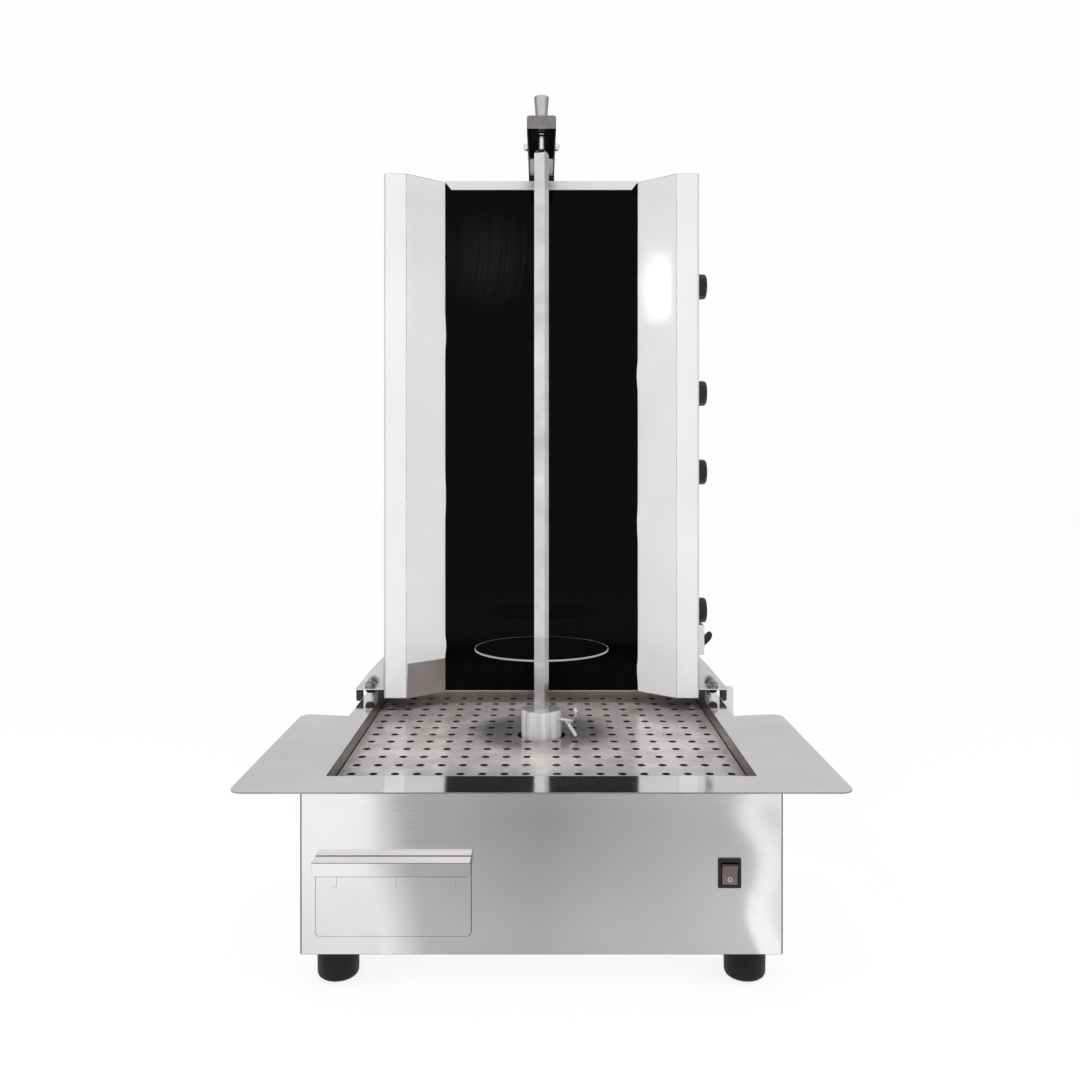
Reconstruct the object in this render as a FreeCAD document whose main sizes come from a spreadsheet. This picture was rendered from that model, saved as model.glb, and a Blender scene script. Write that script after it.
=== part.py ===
import FreeCAD, Part
import Sketcher
import math
import os

# Electric skewer grill (vertical broiler): a stainless base with a catch pan and a grease
# drawer, a driven vertical skewer, and a heater tower that slides fore and aft on the base.
# Millimetres.  +X is the right hand seen from the front, +Y goes back, +Z goes up.
# The origin is on the table, under the middle of the whole grill.

SIZES = {
    # base box
    "base_width": 520, "base_depth": 560, "base_front": -260, "base_height": 188,
    "base_wall": 1.5, "base_corner": 3, "base_flange": 62, "front_strip": 8, "deck_wide": 26.5,
    "cover_gap": 0.3, "floor_thick": 1.5, "vent_long": 60, "vent_wide": 5, "vent_pitch": 15,
    "vent_rows": 6, "cover_vent_left": 24,
    # feet
    "foot_high": 40, "foot_round": 23.25, "foot_inset": 34, "foot_back": 40, "foot_edge": 4,
    # catch pan and its flared wings
    "pan_wall": 1.5, "basin_long": 457, "basin_deep": 34, "lip_out": 60, "flare_rise": 4,
    "apron_long": 262, "wing_corner": 16, "strip_wide": 22.5, "strip_clear": 4,
    "strip_corner": 8, "rim_land": 7.5, "hub_outer": 15, "hub_bore": 11.5, "hub_high": 10,
    "pan_gap": 0.5, "drain_bore": 12, "drain_back": 52, "spout_long": 26,
    # perforated plate
    "plate_high": 17, "plate_thick": 1.5, "plate_gap": 1, "plate_margin": 5, "hole_round": 4.5,
    "hole_pitch": 25, "hole_centre_gap": 35.4, "row_pitch": 34.5, "row_margin": 29.5,
    "plate_eye": 31.35,
    # skewer drive
    "spindle_back": 235, "skewer_turn": -22, "collar_round": 26.4, "collar_high": 48,
    "collar_gap": 3.5, "collar_bevel": 2.1, "skirt_round": 18, "skirt_deep": 9,
    "socket_rise": 13, "socket_gap": 0.2, "shaft_round": 8.95, "shaft_gap": 0.05,
    "shaft_bevel": 1, "shaft_seat": 9.7, "shaft_end_gap": 2.3,
    # butterfly screw in the collar
    "screw_drop": 12, "screw_round": 3, "screw_gap": 0.08, "screw_tip_gap": 0.35,
    "screw_out": 17.6, "ear_sheet": 1.8, "ear_wide": 9, "ear_low_start": 9, "ear_low_out": 21.9,
    "ear_low_drop": 19.6, "ear_top_start": 16.6, "ear_knee_out": 21.9, "ear_knee_rise": 5.1,
    "ear_bend_out": 22.8, "ear_bend_rise": 9.9, "ear_top_out": 20.2, "ear_top_rise": 16.2,
    # skewer
    "skewer_wide": 14.5, "skewer_drop": 22, "skewer_bevel": 3.4, "tip_long": 5.5,
    "tip_hole": 3.2, "tip_deep": 10, "disc_round": 87.5, "disc_thick": 2, "disc_rise": 78,
    "disc_gap": 0.3, "pin_round": 2.5, "pin_half": 15, "pin_gap": 0.05,
    # gear motor under the pan
    "gearbox_half": 42, "gearbox_deep": 35, "gearbox_drop": 19, "gearbox_high": 65,
    "gearbox_corner": 6, "motor_round": 29, "motor_clear": 9, "motor_step": 3,
    "bridge_half": 62, "bridge_wall": 2.5, "bridge_deep": 34, "bridge_foot": 14,
    "bridge_eye": 11,
    # grease drawer
    "drawer_inset": 17, "drawer_wide": 168, "drawer_rise": 20, "drawer_high": 86,
    "drawer_wall": 1.5, "drawer_gap": 0.3, "drawer_side_gap": 5, "tray_long": 360,
    "tray_lift": 4, "tray_drop": 16, "tray_gap": 3, "tray_corner": 2.75, "drawer_corner": 5.5,
    "handle_out": 18, "handle_lip": 15, "handle_sheet": 1.5, "handle_bevel": 3, "tab_wide": 6,
    "tab_long": 33, "tab_thick": 1, "tab_pitch": 64, "runner_wide": 11, "runner_wall": 1.5,
    "runner_guide": 9, "runner_inset": 17, "slide_gap": 0.3,
    # mains switch
    "switch_inset": 58, "switch_rise": 88, "bezel_wide": 25, "bezel_high": 32,
    "bezel_out": 2.5, "bezel_edge": 1.25, "switch_wide": 21, "switch_high": 29,
    "switch_deep": 24, "rocker_wide": 17.5, "rocker_high": 23, "rocker_radius": 14,
    "rocker_gap": 0.4, "rocker_tilt": 9, "rocker_dish": 3.2, "rocker_sink": 6,
    "rocker_slope": 2.4, "rocker_shoulder": 0.9,
    # wiring pieces
    "block_inset": 130, "block_back": 110, "block_long": 60, "block_wide": 20,
    "block_high": 18, "block_cells": 5, "block_rib": 2.4, "gland_inset": 60,
    "gland_rise": 35, "gland_in": 12, "gland_out": 20, "gland_round": 10, "gland_bore": 4.5,
    "gland_flange": 13, "gland_lip": 5, "gland_tip": 8, "gland_nut": 13,
    "gland_nut_thick": 6,
    # heater tower
    "tower_inset": 33, "tower_place": 366, "tower_deep": 170, "tower_gap": 0.8,
    "tower_high": 756.5, "tower_wall": 1.5, "flat_wide": 30.5, "wing_deep": 46,
    "glass_inset": 84, "wing_lip": 45, "wing_return": 16, "sheet_gap": 0.2,
    "glass_thick": 4, "trim_high": 11.5, "trim_back": 12, "trim_gap": 0.3, "trim_mitre": 9,
    "louvre_long": 120, "louvre_wide": 5, "louvre_pitch": 60, "heat_slot_long": 20,
    "heat_slot_wide": 8, "heat_slot_pitch": 28,
    # heaters behind the glass
    "heater_gap": 6, "heater_thick": 12, "heater_side": 10, "heater_margin": 8,
    "heater_rim": 6, "heater_dish": 5, "board_thick": 20,
    # heat controls
    "knob_back": 80, "knob_round": 19.5, "knob_out": 22.7, "knob_dome": 2.5, "knob_stem": 4, "knob_stem_gap": 0.08, "knob_gap": 0.8,
    "pointer_wide": 1.8, "pointer_deep": 0.8, "pointer_start": 6.3,
    "regulator_half": 20, "regulator_deep": 32, "knob_rise_1": 607.2, "knob_rise_2": 445.4,
    "knob_rise_3": 326.1, "knob_rise_4": 116.4,
    # carriage that carries the tower on the base
    "flange_rise": 15, "flange_sheet": 1.5, "carriage_out": 41.3, "carriage_lead": 2,
    "carriage_long": 168, "gusset_high": 41, "gusset_flat": 3, "gusset_front": 30,
    "gusset_back": 152, "shoe_long": 18, "shoe_wide": 8.5, "shoe_front": 7, "shoe_back": 143,
    "shoe_inset": 2, "rail_gap": 0.3, "hook_wide": 7.7, "hook_drop": 2.5, "hook_edge": 3.4,
    "bolt_out": 22, "bolt_in": 7, "bolt_clear": 12, "nut_flats": 6.5, "nut_high": 6.5,
    "stud_round": 4, "stud_proud": 3, "buffer_round": 7, "buffer_high": 7,
    "clamp_out": 54, "clamp_drop": 33, "clamp_sheet": 1.5, "clamp_corner": 6,
    # latch on the right-hand side of the tower
    "latch_back": 36, "latch_rise": 58.2, "latch_high": 44, "latch_out": 12.2,
    "latch_deep": 22, "latch_edge": 2.5, "latch_pivot": 13, "latch_pivot_out": 6.7,
    "latch_lip": 1.3, "latch_slot_low": 8, "latch_slot_high": 22, "lever_round": 3,
    "lever_gap": 0.06, "lever_long": 17.7, "lever_rise": 19.5, "lever_wide": 12,
    "lever_slot": 12.8,
    # top holder
    "arm_half": 19, "arm_rise": 15.2, "arm_high": 17, "arm_wall": 2, "arm_nose": 19,
    "arm_tail": 131, "arm_corner": 3.5, "guide_lead": 9, "guide_thick": 4, "slot_ahead": 87,
    "slot_behind": 36, "pad_wide": 8, "pad_long": 14, "pad_front": 62, "pad_back": 148,
    "cross_back": 87, "cross_rise": 9, "cross_round": 3, "cross_head": 5.25, "cross_out": 6,
    "cross_crown": 3, "cross_flat": 3.2, "cross_in": 5, "cross_gap": 0.06, "clamp_stud": 86,
    "clamp_washer": 9, "clamp_washer_thick": 1.6, "bush_round": 6, "bush_flange": 9,
    "bush_lip": 1.3, "pin_size": 3.1, "pin_reach": 8, "pin_point": 1, "pin_shoulder": 4.5,
    "shoulder_drop": 1.5, "shoulder_high": 2.5, "spring_round": 5, "spring_wire": 1.2,
    "pull_high": 28.9, "pull_low": 7.95, "pull_top": 9.85,
    "pull_edge": 1,
}

# outlines drawn as shares of a length and a rise, from the pivot or the middle
LEVER = ((-0.17, -0.12), (0.12, -0.17), (0.46, 0.06), (0.80, 0.36), (0.97, 0.62), (1.0, 0.86),
         (0.90, 1.0), (0.72, 0.97), (0.52, 0.80), (0.28, 0.52), (-0.02, 0.27), (-0.17, 0.10))

document = FreeCAD.newDocument("skewer_grill")
sheet = document.addObject("Spreadsheet::Sheet", "sizes")


class Size:
    """A length that carries its number and the sheet formula that gives the number."""

    def __init__(self, value, formula):
        self.value = float(value)
        self.formula = formula

    def __add__(self, other):
        other = size(other)
        return Size(self.value + other.value, f"({self.formula} + {other.formula})")

    def __sub__(self, other):
        other = size(other)
        return Size(self.value - other.value, f"({self.formula} - {other.formula})")

    def __mul__(self, other):
        other = size(other)
        return Size(self.value * other.value, f"({self.formula} * {other.formula})")

    def __truediv__(self, other):
        other = size(other)
        return Size(self.value / other.value, f"({self.formula} / {other.formula})")

    def __radd__(self, other):
        return size(other) + self

    def __rsub__(self, other):
        return size(other) - self

    def __rmul__(self, other):
        return size(other) * self

    def __neg__(self):
        return Size(-self.value, f"(0 - {self.formula})")


def size(number):
    return number if isinstance(number, Size) else Size(number, f"({float(number)})")


def whole(length):
    """The number of whole steps that a length holds."""
    return Size(math.floor(length.value), f"floor({length.formula})")


class Sheet:
    """Every driving dimension by its name, as S.base_width."""


S = Sheet()
for row, (alias, number) in enumerate(SIZES.items(), start=1):
    sheet.set(f"A{row}", alias)
    sheet.set(f"B{row}", str(number))
    sheet.setAlias(f"B{row}", alias)
    setattr(S, alias, Size(number, f"sizes.{alias}"))
document.recompute()

PLANES = {"XY": ("XY_Plane", 1), "XZ": ("XZ_Plane", -1), "YZ": ("YZ_Plane", 1)}
sub_parts = []
cuts = []


# ---------------------------------------------------------------- helpers

def bind(thing, path, length):
    length = size(length)
    thing.setExpression(path, length.formula)


def sub_part(name, x=0, y=0, z=0, turn_axis=None, turn=0):
    """A body of its own, which becomes the node of that name."""
    body = document.addObject("PartDesign::Body", name)
    body.Label = name
    body.Placement = FreeCAD.Placement(
        FreeCAD.Vector(size(x).value, size(y).value, size(z).value),
        FreeCAD.Rotation(FreeCAD.Vector(*(turn_axis or (0, 0, 1))), size(turn).value))
    bind(body, "Placement.Base.x", x)
    bind(body, "Placement.Base.y", y)
    bind(body, "Placement.Base.z", z)
    if turn_axis:
        bind(body, "Placement.Rotation.Angle", turn)
    sub_parts.append(body)
    return body


def origin_feature(body, role):
    return next(item for item in body.Origin.OriginFeatures if item.Role == role)


def new_sketch(body, plane, level):
    role, sense = PLANES[plane]
    sketch = body.newObject("Sketcher::SketchObject", "sketch")
    sketch.AttachmentSupport = [(origin_feature(body, role), "")]
    sketch.MapMode = "FlatFace"
    offset = size(level) * sense
    sketch.AttachmentOffset = FreeCAD.Placement(
        FreeCAD.Vector(0, 0, offset.value), FreeCAD.Rotation())
    bind(sketch, "AttachmentOffset.Base.z", offset)
    return sketch


def pin_down(sketch, geometry, position, point):
    """Hold one point of a sketch at its distances from the sketch's origin."""
    for kind, length in zip(("DistanceX", "DistanceY"), point):
        length = size(length)
        index = sketch.addConstraint(
            Sketcher.Constraint(kind, -1, 1, geometry, position, length.value))
        bind(sketch, f"Constraints[{index}]", length)


def vector(point):
    return FreeCAD.Vector(size(point[0]).value, size(point[1]).value, 0)


def polygon(points):
    def draw(sketch):
        first = sketch.GeometryCount
        count = len(points)
        for start, end in zip(points, points[1:] + points[:1]):
            sketch.addGeometry(Part.LineSegment(vector(start), vector(end)), False)
        sketch.addConstraint([
            Sketcher.Constraint("Coincident", first + i, 2, first + (i + 1) % count, 1)
            for i in range(count)])
        for i, point in enumerate(points):
            pin_down(sketch, first + i, 1, point)
    return draw


def rectangle(left, low, right, high):
    return polygon([(left, low), (right, low), (right, high), (left, high)])


def circle(x, y, radius):
    def draw(sketch):
        index = sketch.addGeometry(
            Part.Circle(vector((x, y)), FreeCAD.Vector(0, 0, 1), size(radius).value), False)
        pin_down(sketch, index, 3, (x, y))
        held = sketch.addConstraint(Sketcher.Constraint("Radius", index, size(radius).value))
        bind(sketch, f"Constraints[{held}]", radius)
    return draw


def regular(x, y, radius, sides):
    """A regular polygon whose flats lie at the radius."""
    corner = 1 / math.cos(math.pi / sides)
    return polygon([
        (x + radius * (corner * math.cos(math.pi * (2 * i + 1) / sides)),
         y + radius * (corner * math.sin(math.pi * (2 * i + 1) / sides)))
        for i in range(sides)])


def offset_corner(before, here, after, distance):
    """Where the two lines beside a corner meet once both are moved by the distance."""
    normals = []
    for start, end in ((before, here), (here, after)):
        if start is None or end is None:
            continue
        along = vector(end) - vector(start)
        normals.append(FreeCAD.Vector(-along.y, along.x, 0).normalize())
    if len(normals) == 1:
        return vector(here) + normals[0] * distance
    middle = (normals[0] + normals[1]).normalize()
    return vector(here) + middle * (distance / middle.dot(normals[0]))


def folded(points, wall, side=1):
    """The section of a bent sheet: its outer line, and the same line one wall to the side."""
    def draw(sketch):
        thick = size(wall)
        chain = [None] + list(points) + [None]
        inner = [offset_corner(*chain[i:i + 3], thick.value * side)
                 for i in range(len(points))]
        outer = [vector(point) for point in points]
        loop = outer + inner[::-1]
        first = sketch.GeometryCount
        count = len(loop)
        for start, end in zip(loop, loop[1:] + loop[:1]):
            sketch.addGeometry(Part.LineSegment(start, end), False)
        sketch.addConstraint([
            Sketcher.Constraint("Coincident", first + i, 2, first + (i + 1) % count, 1)
            for i in range(count)])
        for i, point in enumerate(points):
            pin_down(sketch, first + i, 1, point)
        last = len(points) - 1
        for i in range(last):
            partner = first + count - 2 - i
            sketch.addConstraint(Sketcher.Constraint("Parallel", partner, first + i))
            held = sketch.addConstraint(
                Sketcher.Constraint("Distance", partner, 1, first + i, thick.value))
            bind(sketch, f"Constraints[{held}]", thick)
        sketch.addConstraint(Sketcher.Constraint("Perpendicular", first + last, first + last - 1))
        sketch.addConstraint(Sketcher.Constraint("Perpendicular", first + count - 1, first))
    return draw


def profile(body, plane, level, shapes):
    sketch = new_sketch(body, plane, level)
    for shape in shapes:
        shape(sketch)
    return sketch


def grow(body, plane, level, length, *shapes):
    """Add material from the level towards the positive side of the plane."""
    sketch = profile(body, plane, level, shapes)
    pad = body.newObject("PartDesign::Pad", "pad")
    pad.Profile = sketch
    pad.Reversed = plane == "XZ"
    bind(pad, "Length", length)
    return pad


def carve(body, plane, level, depth, *shapes):
    """Take material away from the level towards the positive side of the plane."""
    sketch = profile(body, plane, level, shapes)
    before = body.Tip
    pocket = body.newObject("PartDesign::Pocket", "pocket")
    pocket.Profile = sketch
    pocket.Reversed = plane != "XZ"
    bind(pocket, "Length", depth)
    cuts.append((body.Label, before, pocket))
    return pocket


def spin(body, points, cut=False):
    """Turn a half section, given as radius and height, about the body's own Z axis."""
    sketch = profile(body, "XZ", 0, [polygon(points)])
    before = body.Tip
    kind = "PartDesign::Groove" if cut else "PartDesign::Revolution"
    turned = body.newObject(kind, "turned")
    turned.Profile = sketch
    turned.ReferenceAxis = (origin_feature(body, "Z_Axis"), [""])
    turned.Angle = 360
    if cut:
        cuts.append((body.Label, before, turned))
    return turned


def loft(body, plane, level_a, shape_a, level_b, shape_b):
    section_a = profile(body, plane, level_a, [shape_a])
    section_b = profile(body, plane, level_b, [shape_b])
    lofted = body.newObject("PartDesign::AdditiveLoft", "loft")
    lofted.Profile = section_a
    lofted.Sections = [section_b]
    lofted.Ruled = True
    return lofted


def on(edge, tolerance=0.02, **places):
    """True where the whole edge lies at the given x, y or z."""
    box = edge.BoundBox
    spans = {"x": (box.XMin, box.XMax), "y": (box.YMin, box.YMax), "z": (box.ZMin, box.ZMax)}
    return all(abs(end - size(place).value) < tolerance
               for axis, place in places.items() for end in spans[axis])


def ease(body, radius, chosen, kind="Fillet"):
    """Round or bevel the edges of the body that the test picks out."""
    document.recompute()
    base = body.Tip
    names = [f"Edge{i}" for i, edge in enumerate(base.Shape.Edges, start=1) if chosen(edge)]
    if not names:
        raise RuntimeError(f"{body.Label}: no edge to ease")
    feature = body.newObject(f"PartDesign::{kind}", kind.lower())
    feature.Base = (base, names)
    bind(feature, "Radius" if kind == "Fillet" else "Size", radius)
    return feature


def pattern(body, feature, *steps):
    """Repeat a feature: each step is a direction, a pitch and a count, or a mirror plane."""
    multi = body.newObject("PartDesign::MultiTransform", "multi")
    multi.Originals = [feature]
    made = []
    for step in steps:
        if len(step) == 1:
            item = body.newObject("PartDesign::Mirrored", "mirrored")
            item.MirrorPlane = (origin_feature(body, step[0]), [""])
        else:
            axis, pitch, count = step
            item = body.newObject("PartDesign::LinearPattern", "row")
            item.Direction = (origin_feature(body, axis), [""])
            item.Mode = "Spacing"
            bind(item, "Offset", pitch)
            bind(item, "Occurrences", count)
        made.append(item)
    multi.Transformations = made
    body.Tip = multi
    return multi


# ---------------------------------------------------------------- places worked out once

base_half = S.base_width / 2
base_back = S.base_front + S.base_depth
base_low = S.foot_high
base_top = S.foot_high + S.base_height
front_inner = S.base_front + S.base_wall
shell_back = base_back - S.base_wall
floor_level = base_low + S.base_wall
floor_top = floor_level + S.floor_thick

basin_half = base_half - S.deck_wide
basin_front = S.base_front + S.front_strip
basin_back = basin_front + S.basin_long
rim_top = base_top + S.pan_wall
basin_floor = rim_top - S.basin_deep
flare_half = base_half + S.lip_out
flare_front = S.base_front - S.lip_out
apron_back = basin_front + S.apron_long
plate_top = rim_top - S.plate_high

tower_half = base_half - S.tower_inset
tower_front = basin_front + S.tower_place
tower_back_y = tower_front + S.tower_deep
tower_low = rim_top + S.tower_gap
tower_top = tower_low + S.tower_high
glass_front = tower_front + S.wing_deep
glass_half = tower_half - S.glass_inset
panel_inner = tower_half - S.tower_wall
knob_y = tower_front + S.knob_back
flange_level = base_top + S.flange_rise
flange_top = flange_level + S.flange_sheet
carriage_end = tower_half + S.carriage_out
carriage_front = tower_front - S.carriage_lead

spindle_y = basin_front + S.spindle_back
arm_level = tower_top + S.arm_rise
arm_top = arm_level + S.arm_high
arm_inner_top = arm_top - S.arm_wall
arm_inner = S.arm_half - S.arm_wall
guide_low = arm_level - S.slide_gap
clamp_stud_y = tower_front + S.clamp_stud

collar_low = basin_floor + S.collar_gap
collar_top = collar_low + S.collar_high
socket_floor = collar_low + S.socket_rise
gearbox_top = basin_floor - S.pan_wall - S.gearbox_drop
gearbox_low = gearbox_top - S.gearbox_high
shaft_low = gearbox_top - S.shaft_seat
shaft_top = socket_floor - S.shaft_end_gap
screw_level = collar_top - S.screw_drop
disc_level = collar_top + S.disc_rise
disc_pin_level = disc_level - S.pin_round - S.disc_gap
skewer_half = S.skewer_wide / 2
skewer_top = arm_level - S.skewer_drop
pin_low = skewer_top - S.pin_reach
shoulder_low = arm_level - S.shoulder_drop
pull_knob_low = arm_top + S.bush_lip + S.slide_gap

drawer_left = S.drawer_inset - base_half
drawer_right = drawer_left + S.drawer_wide
drawer_low = base_low + S.drawer_rise
drawer_top = drawer_low + S.drawer_high
panel_back = S.base_front - S.drawer_gap
panel_front = panel_back - S.drawer_wall
tray_left = drawer_left + S.drawer_side_gap
tray_right = drawer_right - S.drawer_side_gap
tray_low = drawer_low + S.tray_lift
tray_high = S.drawer_high - S.tray_drop
drain_x = drawer_left + S.drawer_wide / 2
drain_y = basin_front + S.drain_back
switch_x = base_half - S.switch_inset
switch_z = base_low + S.switch_rise


# ---------------------------------------------------------------- base

def make_base_shell():
    """Folded box, open at the back, with a deck round the pan and a flange underneath."""
    body = sub_part("base_shell")
    grow(body, "XY", base_low, S.base_height,
         rectangle(-base_half, S.base_front, base_half, shell_back))
    ease(body, S.base_corner, lambda edge: on(edge, y=S.base_front) and not
         (on(edge, z=base_low) or on(edge, z=base_top)))
    carve(body, "XZ", front_inner, S.base_depth,
          rectangle(-(base_half - S.base_wall), base_low + S.base_wall,
                    base_half - S.base_wall, base_top - S.base_wall))
    carve(body, "XY", base_top - S.base_wall, S.base_wall,
          rectangle(-(basin_half + S.pan_wall + S.pan_gap),
                    basin_front - S.pan_wall - S.pan_gap,
                    basin_half + S.pan_wall + S.pan_gap, basin_back + S.pan_wall + S.pan_gap))
    carve(body, "XY", base_low, S.base_wall,
          rectangle(-(base_half - S.base_flange), S.base_front + S.base_flange,
                    base_half - S.base_flange, shell_back - S.base_flange))
    carve(body, "XZ", S.base_front, S.base_wall,
          rectangle(tray_left - S.tray_gap, tray_low - S.tray_gap, tray_right + S.tray_gap,
                    tray_low + tray_high + S.tray_gap),
          rectangle(switch_x - S.switch_wide / 2 - S.cover_gap,
                    switch_z - S.switch_high / 2 - S.cover_gap,
                    switch_x + S.switch_wide / 2 + S.cover_gap,
                    switch_z + S.switch_high / 2 + S.cover_gap))


def make_base_floor():
    """Loose floor sheet on the flange, with a ladder of vents beside the motor."""
    body = sub_part("base_floor")
    inset = S.base_wall + S.cover_gap
    grow(body, "XY", floor_level, S.floor_thick,
         rectangle(-(base_half - inset), S.base_front + inset, base_half - inset,
                   shell_back - S.cover_gap))
    left = S.bridge_half + S.bridge_foot * 2
    low = S.vent_pitch * 2
    slot = carve(body, "XY", floor_level, S.floor_thick,
                 rectangle(left, low, left + S.vent_long, low + S.vent_wide))
    pattern(body, slot, ("Y_Axis", S.vent_pitch, S.vent_rows))


def make_rear_cover():
    """Plate that closes the back of the base, with louvres and the hole for the gland."""
    body = sub_part("rear_cover")
    grow(body, "XZ", shell_back, S.base_wall,
         rectangle(-(base_half - S.cover_gap), base_low + S.cover_gap,
                   base_half - S.cover_gap, base_top - S.cover_gap))
    carve(body, "XZ", shell_back, S.base_wall,
          circle(base_half - S.gland_inset, base_low + S.gland_rise, S.gland_round + S.cover_gap))
    left = S.cover_vent_left
    low = base_low + S.vent_long
    slot = carve(body, "XZ", shell_back, S.base_wall,
                 rectangle(left, low, left + S.vent_long, low + S.vent_wide))
    pattern(body, slot, ("Z_Axis", S.vent_pitch, S.vent_rows), ("YZ_Plane",))


def make_feet():
    """Four rubber feet under the corners, softened where they meet the table."""
    body = sub_part("feet")
    x = base_half - S.foot_inset
    ys = (S.base_front + S.foot_back, base_back - S.foot_back)
    grow(body, "XY", 0, S.foot_high,
         *[circle(x * side, y, S.foot_round) for side in (-1, 1) for y in ys])
    ease(body, S.foot_edge, lambda edge: on(edge, z=0), "Chamfer")


def make_catch_pan():
    """Deep-drawn basin with a hub for the drive, a drain, and three flared aprons."""
    body = sub_part("catch_pan")
    wall = S.pan_wall
    strip_back = carriage_front + S.shoe_front - S.strip_clear
    grow(body, "XY", basin_floor - wall, S.basin_deep + wall,
         rectangle(-(basin_half + wall), basin_front - wall, basin_half + wall,
                   basin_back + wall))
    # narrow land that hangs the pan on the deck
    grow(body, "XY", base_top, wall,
         rectangle(-(basin_half + S.rim_land), basin_front - wall,
                   basin_half + S.rim_land, basin_back + S.rim_land))
    # wider strips behind the side aprons
    grow(body, "XY", base_top, wall,
         rectangle(-(basin_half + S.strip_wide), 0, basin_half + S.strip_wide, strip_back))
    ease(body, S.strip_corner, lambda edge: on(edge, y=strip_back) and not
         (on(edge, z=base_top) or on(edge, z=rim_top)) and abs(edge.BoundBox.Center.x) >
         (basin_half + S.rim_land).value)
    # front apron and side aprons, mitred at the front corners
    loft(body, "XZ", flare_front,
         rectangle(-flare_half, base_top + S.flare_rise, flare_half, rim_top + S.flare_rise),
         basin_front, rectangle(-basin_half, base_top, basin_half, rim_top))
    for side in (-1, 1):
        loft(body, "YZ", flare_half * side,
             rectangle(flare_front, base_top + S.flare_rise, apron_back,
                       rim_top + S.flare_rise),
             basin_half * side, rectangle(basin_front, base_top, apron_back, rim_top))
    ease(body, S.wing_corner, lambda edge: abs(abs(edge.BoundBox.Center.x) -
         flare_half.value) < 0.1 and edge.BoundBox.ZLength < 2 and edge.BoundBox.YLength < 0.1)
    carve(body, "XY", basin_floor, S.basin_deep + S.flare_rise,
          rectangle(-basin_half, basin_front, basin_half, basin_back))
    grow(body, "XY", basin_floor - wall, S.hub_high + wall,
         circle(0, spindle_y, S.hub_outer))
    carve(body, "XY", basin_floor - wall, S.hub_high + wall,
          circle(0, spindle_y, S.hub_bore))
    # welded spout under the drain, over the drawer
    spout = basin_floor - wall - S.spout_long
    grow(body, "XY", spout, S.spout_long + wall / 2,
         circle(drain_x, drain_y, S.drain_bore + wall))
    carve(body, "XY", spout, S.spout_long + wall, circle(drain_x, drain_y, S.drain_bore))


def make_perforated_plate():
    """Inverted shallow tray whose top is pierced by rows of holes; each six-sided cut
    has the flats of the round hole.  The plate's own size sets how many rows it takes."""
    body = sub_part("perforated_plate")
    half = basin_half - S.plate_gap
    front = basin_front + S.plate_gap
    back = basin_back - S.plate_gap
    thick = S.plate_thick
    grow(body, "XY", basin_floor, plate_top - basin_floor, rectangle(-half, front, half, back))
    carve(body, "XY", basin_floor, plate_top - basin_floor - thick,
          rectangle(-(half - thick), front + thick, half - thick, back - thick))
    level = plate_top - thick
    first = (S.hole_centre_gap / 2, basin_front + S.row_margin)
    hole = carve(body, "XY", level, thick, regular(*first, S.hole_round, 6))
    holes = whole((half - thick - S.plate_margin - first[0]) / S.hole_pitch) + 1
    rows = whole((back - thick - S.plate_margin - first[1]) / S.row_pitch) + 1
    pattern(body, hole, ("X_Axis", S.hole_pitch, holes), ("YZ_Plane",),
            ("Y_Axis", S.row_pitch, rows))
    carve(body, "XY", level, thick, circle(0, spindle_y, S.plate_eye))


# ---------------------------------------------------------------- skewer drive

def make_drive_collar():
    """Turned collar: square socket above, shaft bore below, and a skirt over the hub."""
    body = sub_part("drive_collar", 0, spindle_y, 0, (0, 0, 1), S.skewer_turn)
    r = S.collar_round
    bore = S.shaft_round + S.shaft_gap
    spin(body, [(bore, collar_low + S.skirt_deep), (S.skirt_round, collar_low + S.skirt_deep),
                (S.skirt_round, collar_low), (r, collar_low),
                (r, collar_top - S.collar_bevel), (r - S.collar_bevel, collar_top),
                (0, collar_top), (0, socket_floor), (bore, socket_floor)])
    half = skewer_half + S.socket_gap
    carve(body, "XY", socket_floor, collar_top - socket_floor,
          rectangle(-half, -half, half, half))
    carve(body, "YZ", 0, r, circle(0, screw_level, S.screw_round + S.screw_gap))


def make_output_shaft():
    """Drive shaft from the gearbox through the hub into the collar."""
    body = sub_part("output_shaft", 0, spindle_y, shaft_low)
    r = S.shaft_round
    long = shaft_top - shaft_low
    bevel = S.shaft_bevel
    spin(body, [(0, 0), (r - bevel, 0), (r, bevel), (r, long - bevel), (r - bevel, long),
                (0, long)])


def make_wing_screw():
    """Butterfly screw that clamps the skewer in the collar: a threaded shank along +X of the
    turn, with one ear bent straight down and out and the other curled up at its end."""
    body = sub_part("wing_screw", 0, spindle_y, screw_level, (0, 0, 1), S.skewer_turn)
    start = skewer_half + S.screw_tip_gap
    root = S.collar_round
    grow(body, "YZ", start, root + S.screw_out - start, circle(0, 0, S.screw_round))
    grow(body, "XZ", -S.ear_wide / 2, S.ear_wide, folded(
        [(root + S.ear_low_start, 0), (root + S.ear_low_out, -S.ear_low_drop)],
        S.ear_sheet, -1))
    grow(body, "XZ", -S.ear_wide / 2, S.ear_wide, folded(
        [(root + S.ear_top_start, 0), (root + S.ear_knee_out, S.ear_knee_rise),
         (root + S.ear_bend_out, S.ear_bend_rise), (root + S.ear_top_out, S.ear_top_rise)],
        S.ear_sheet, 1))


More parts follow.
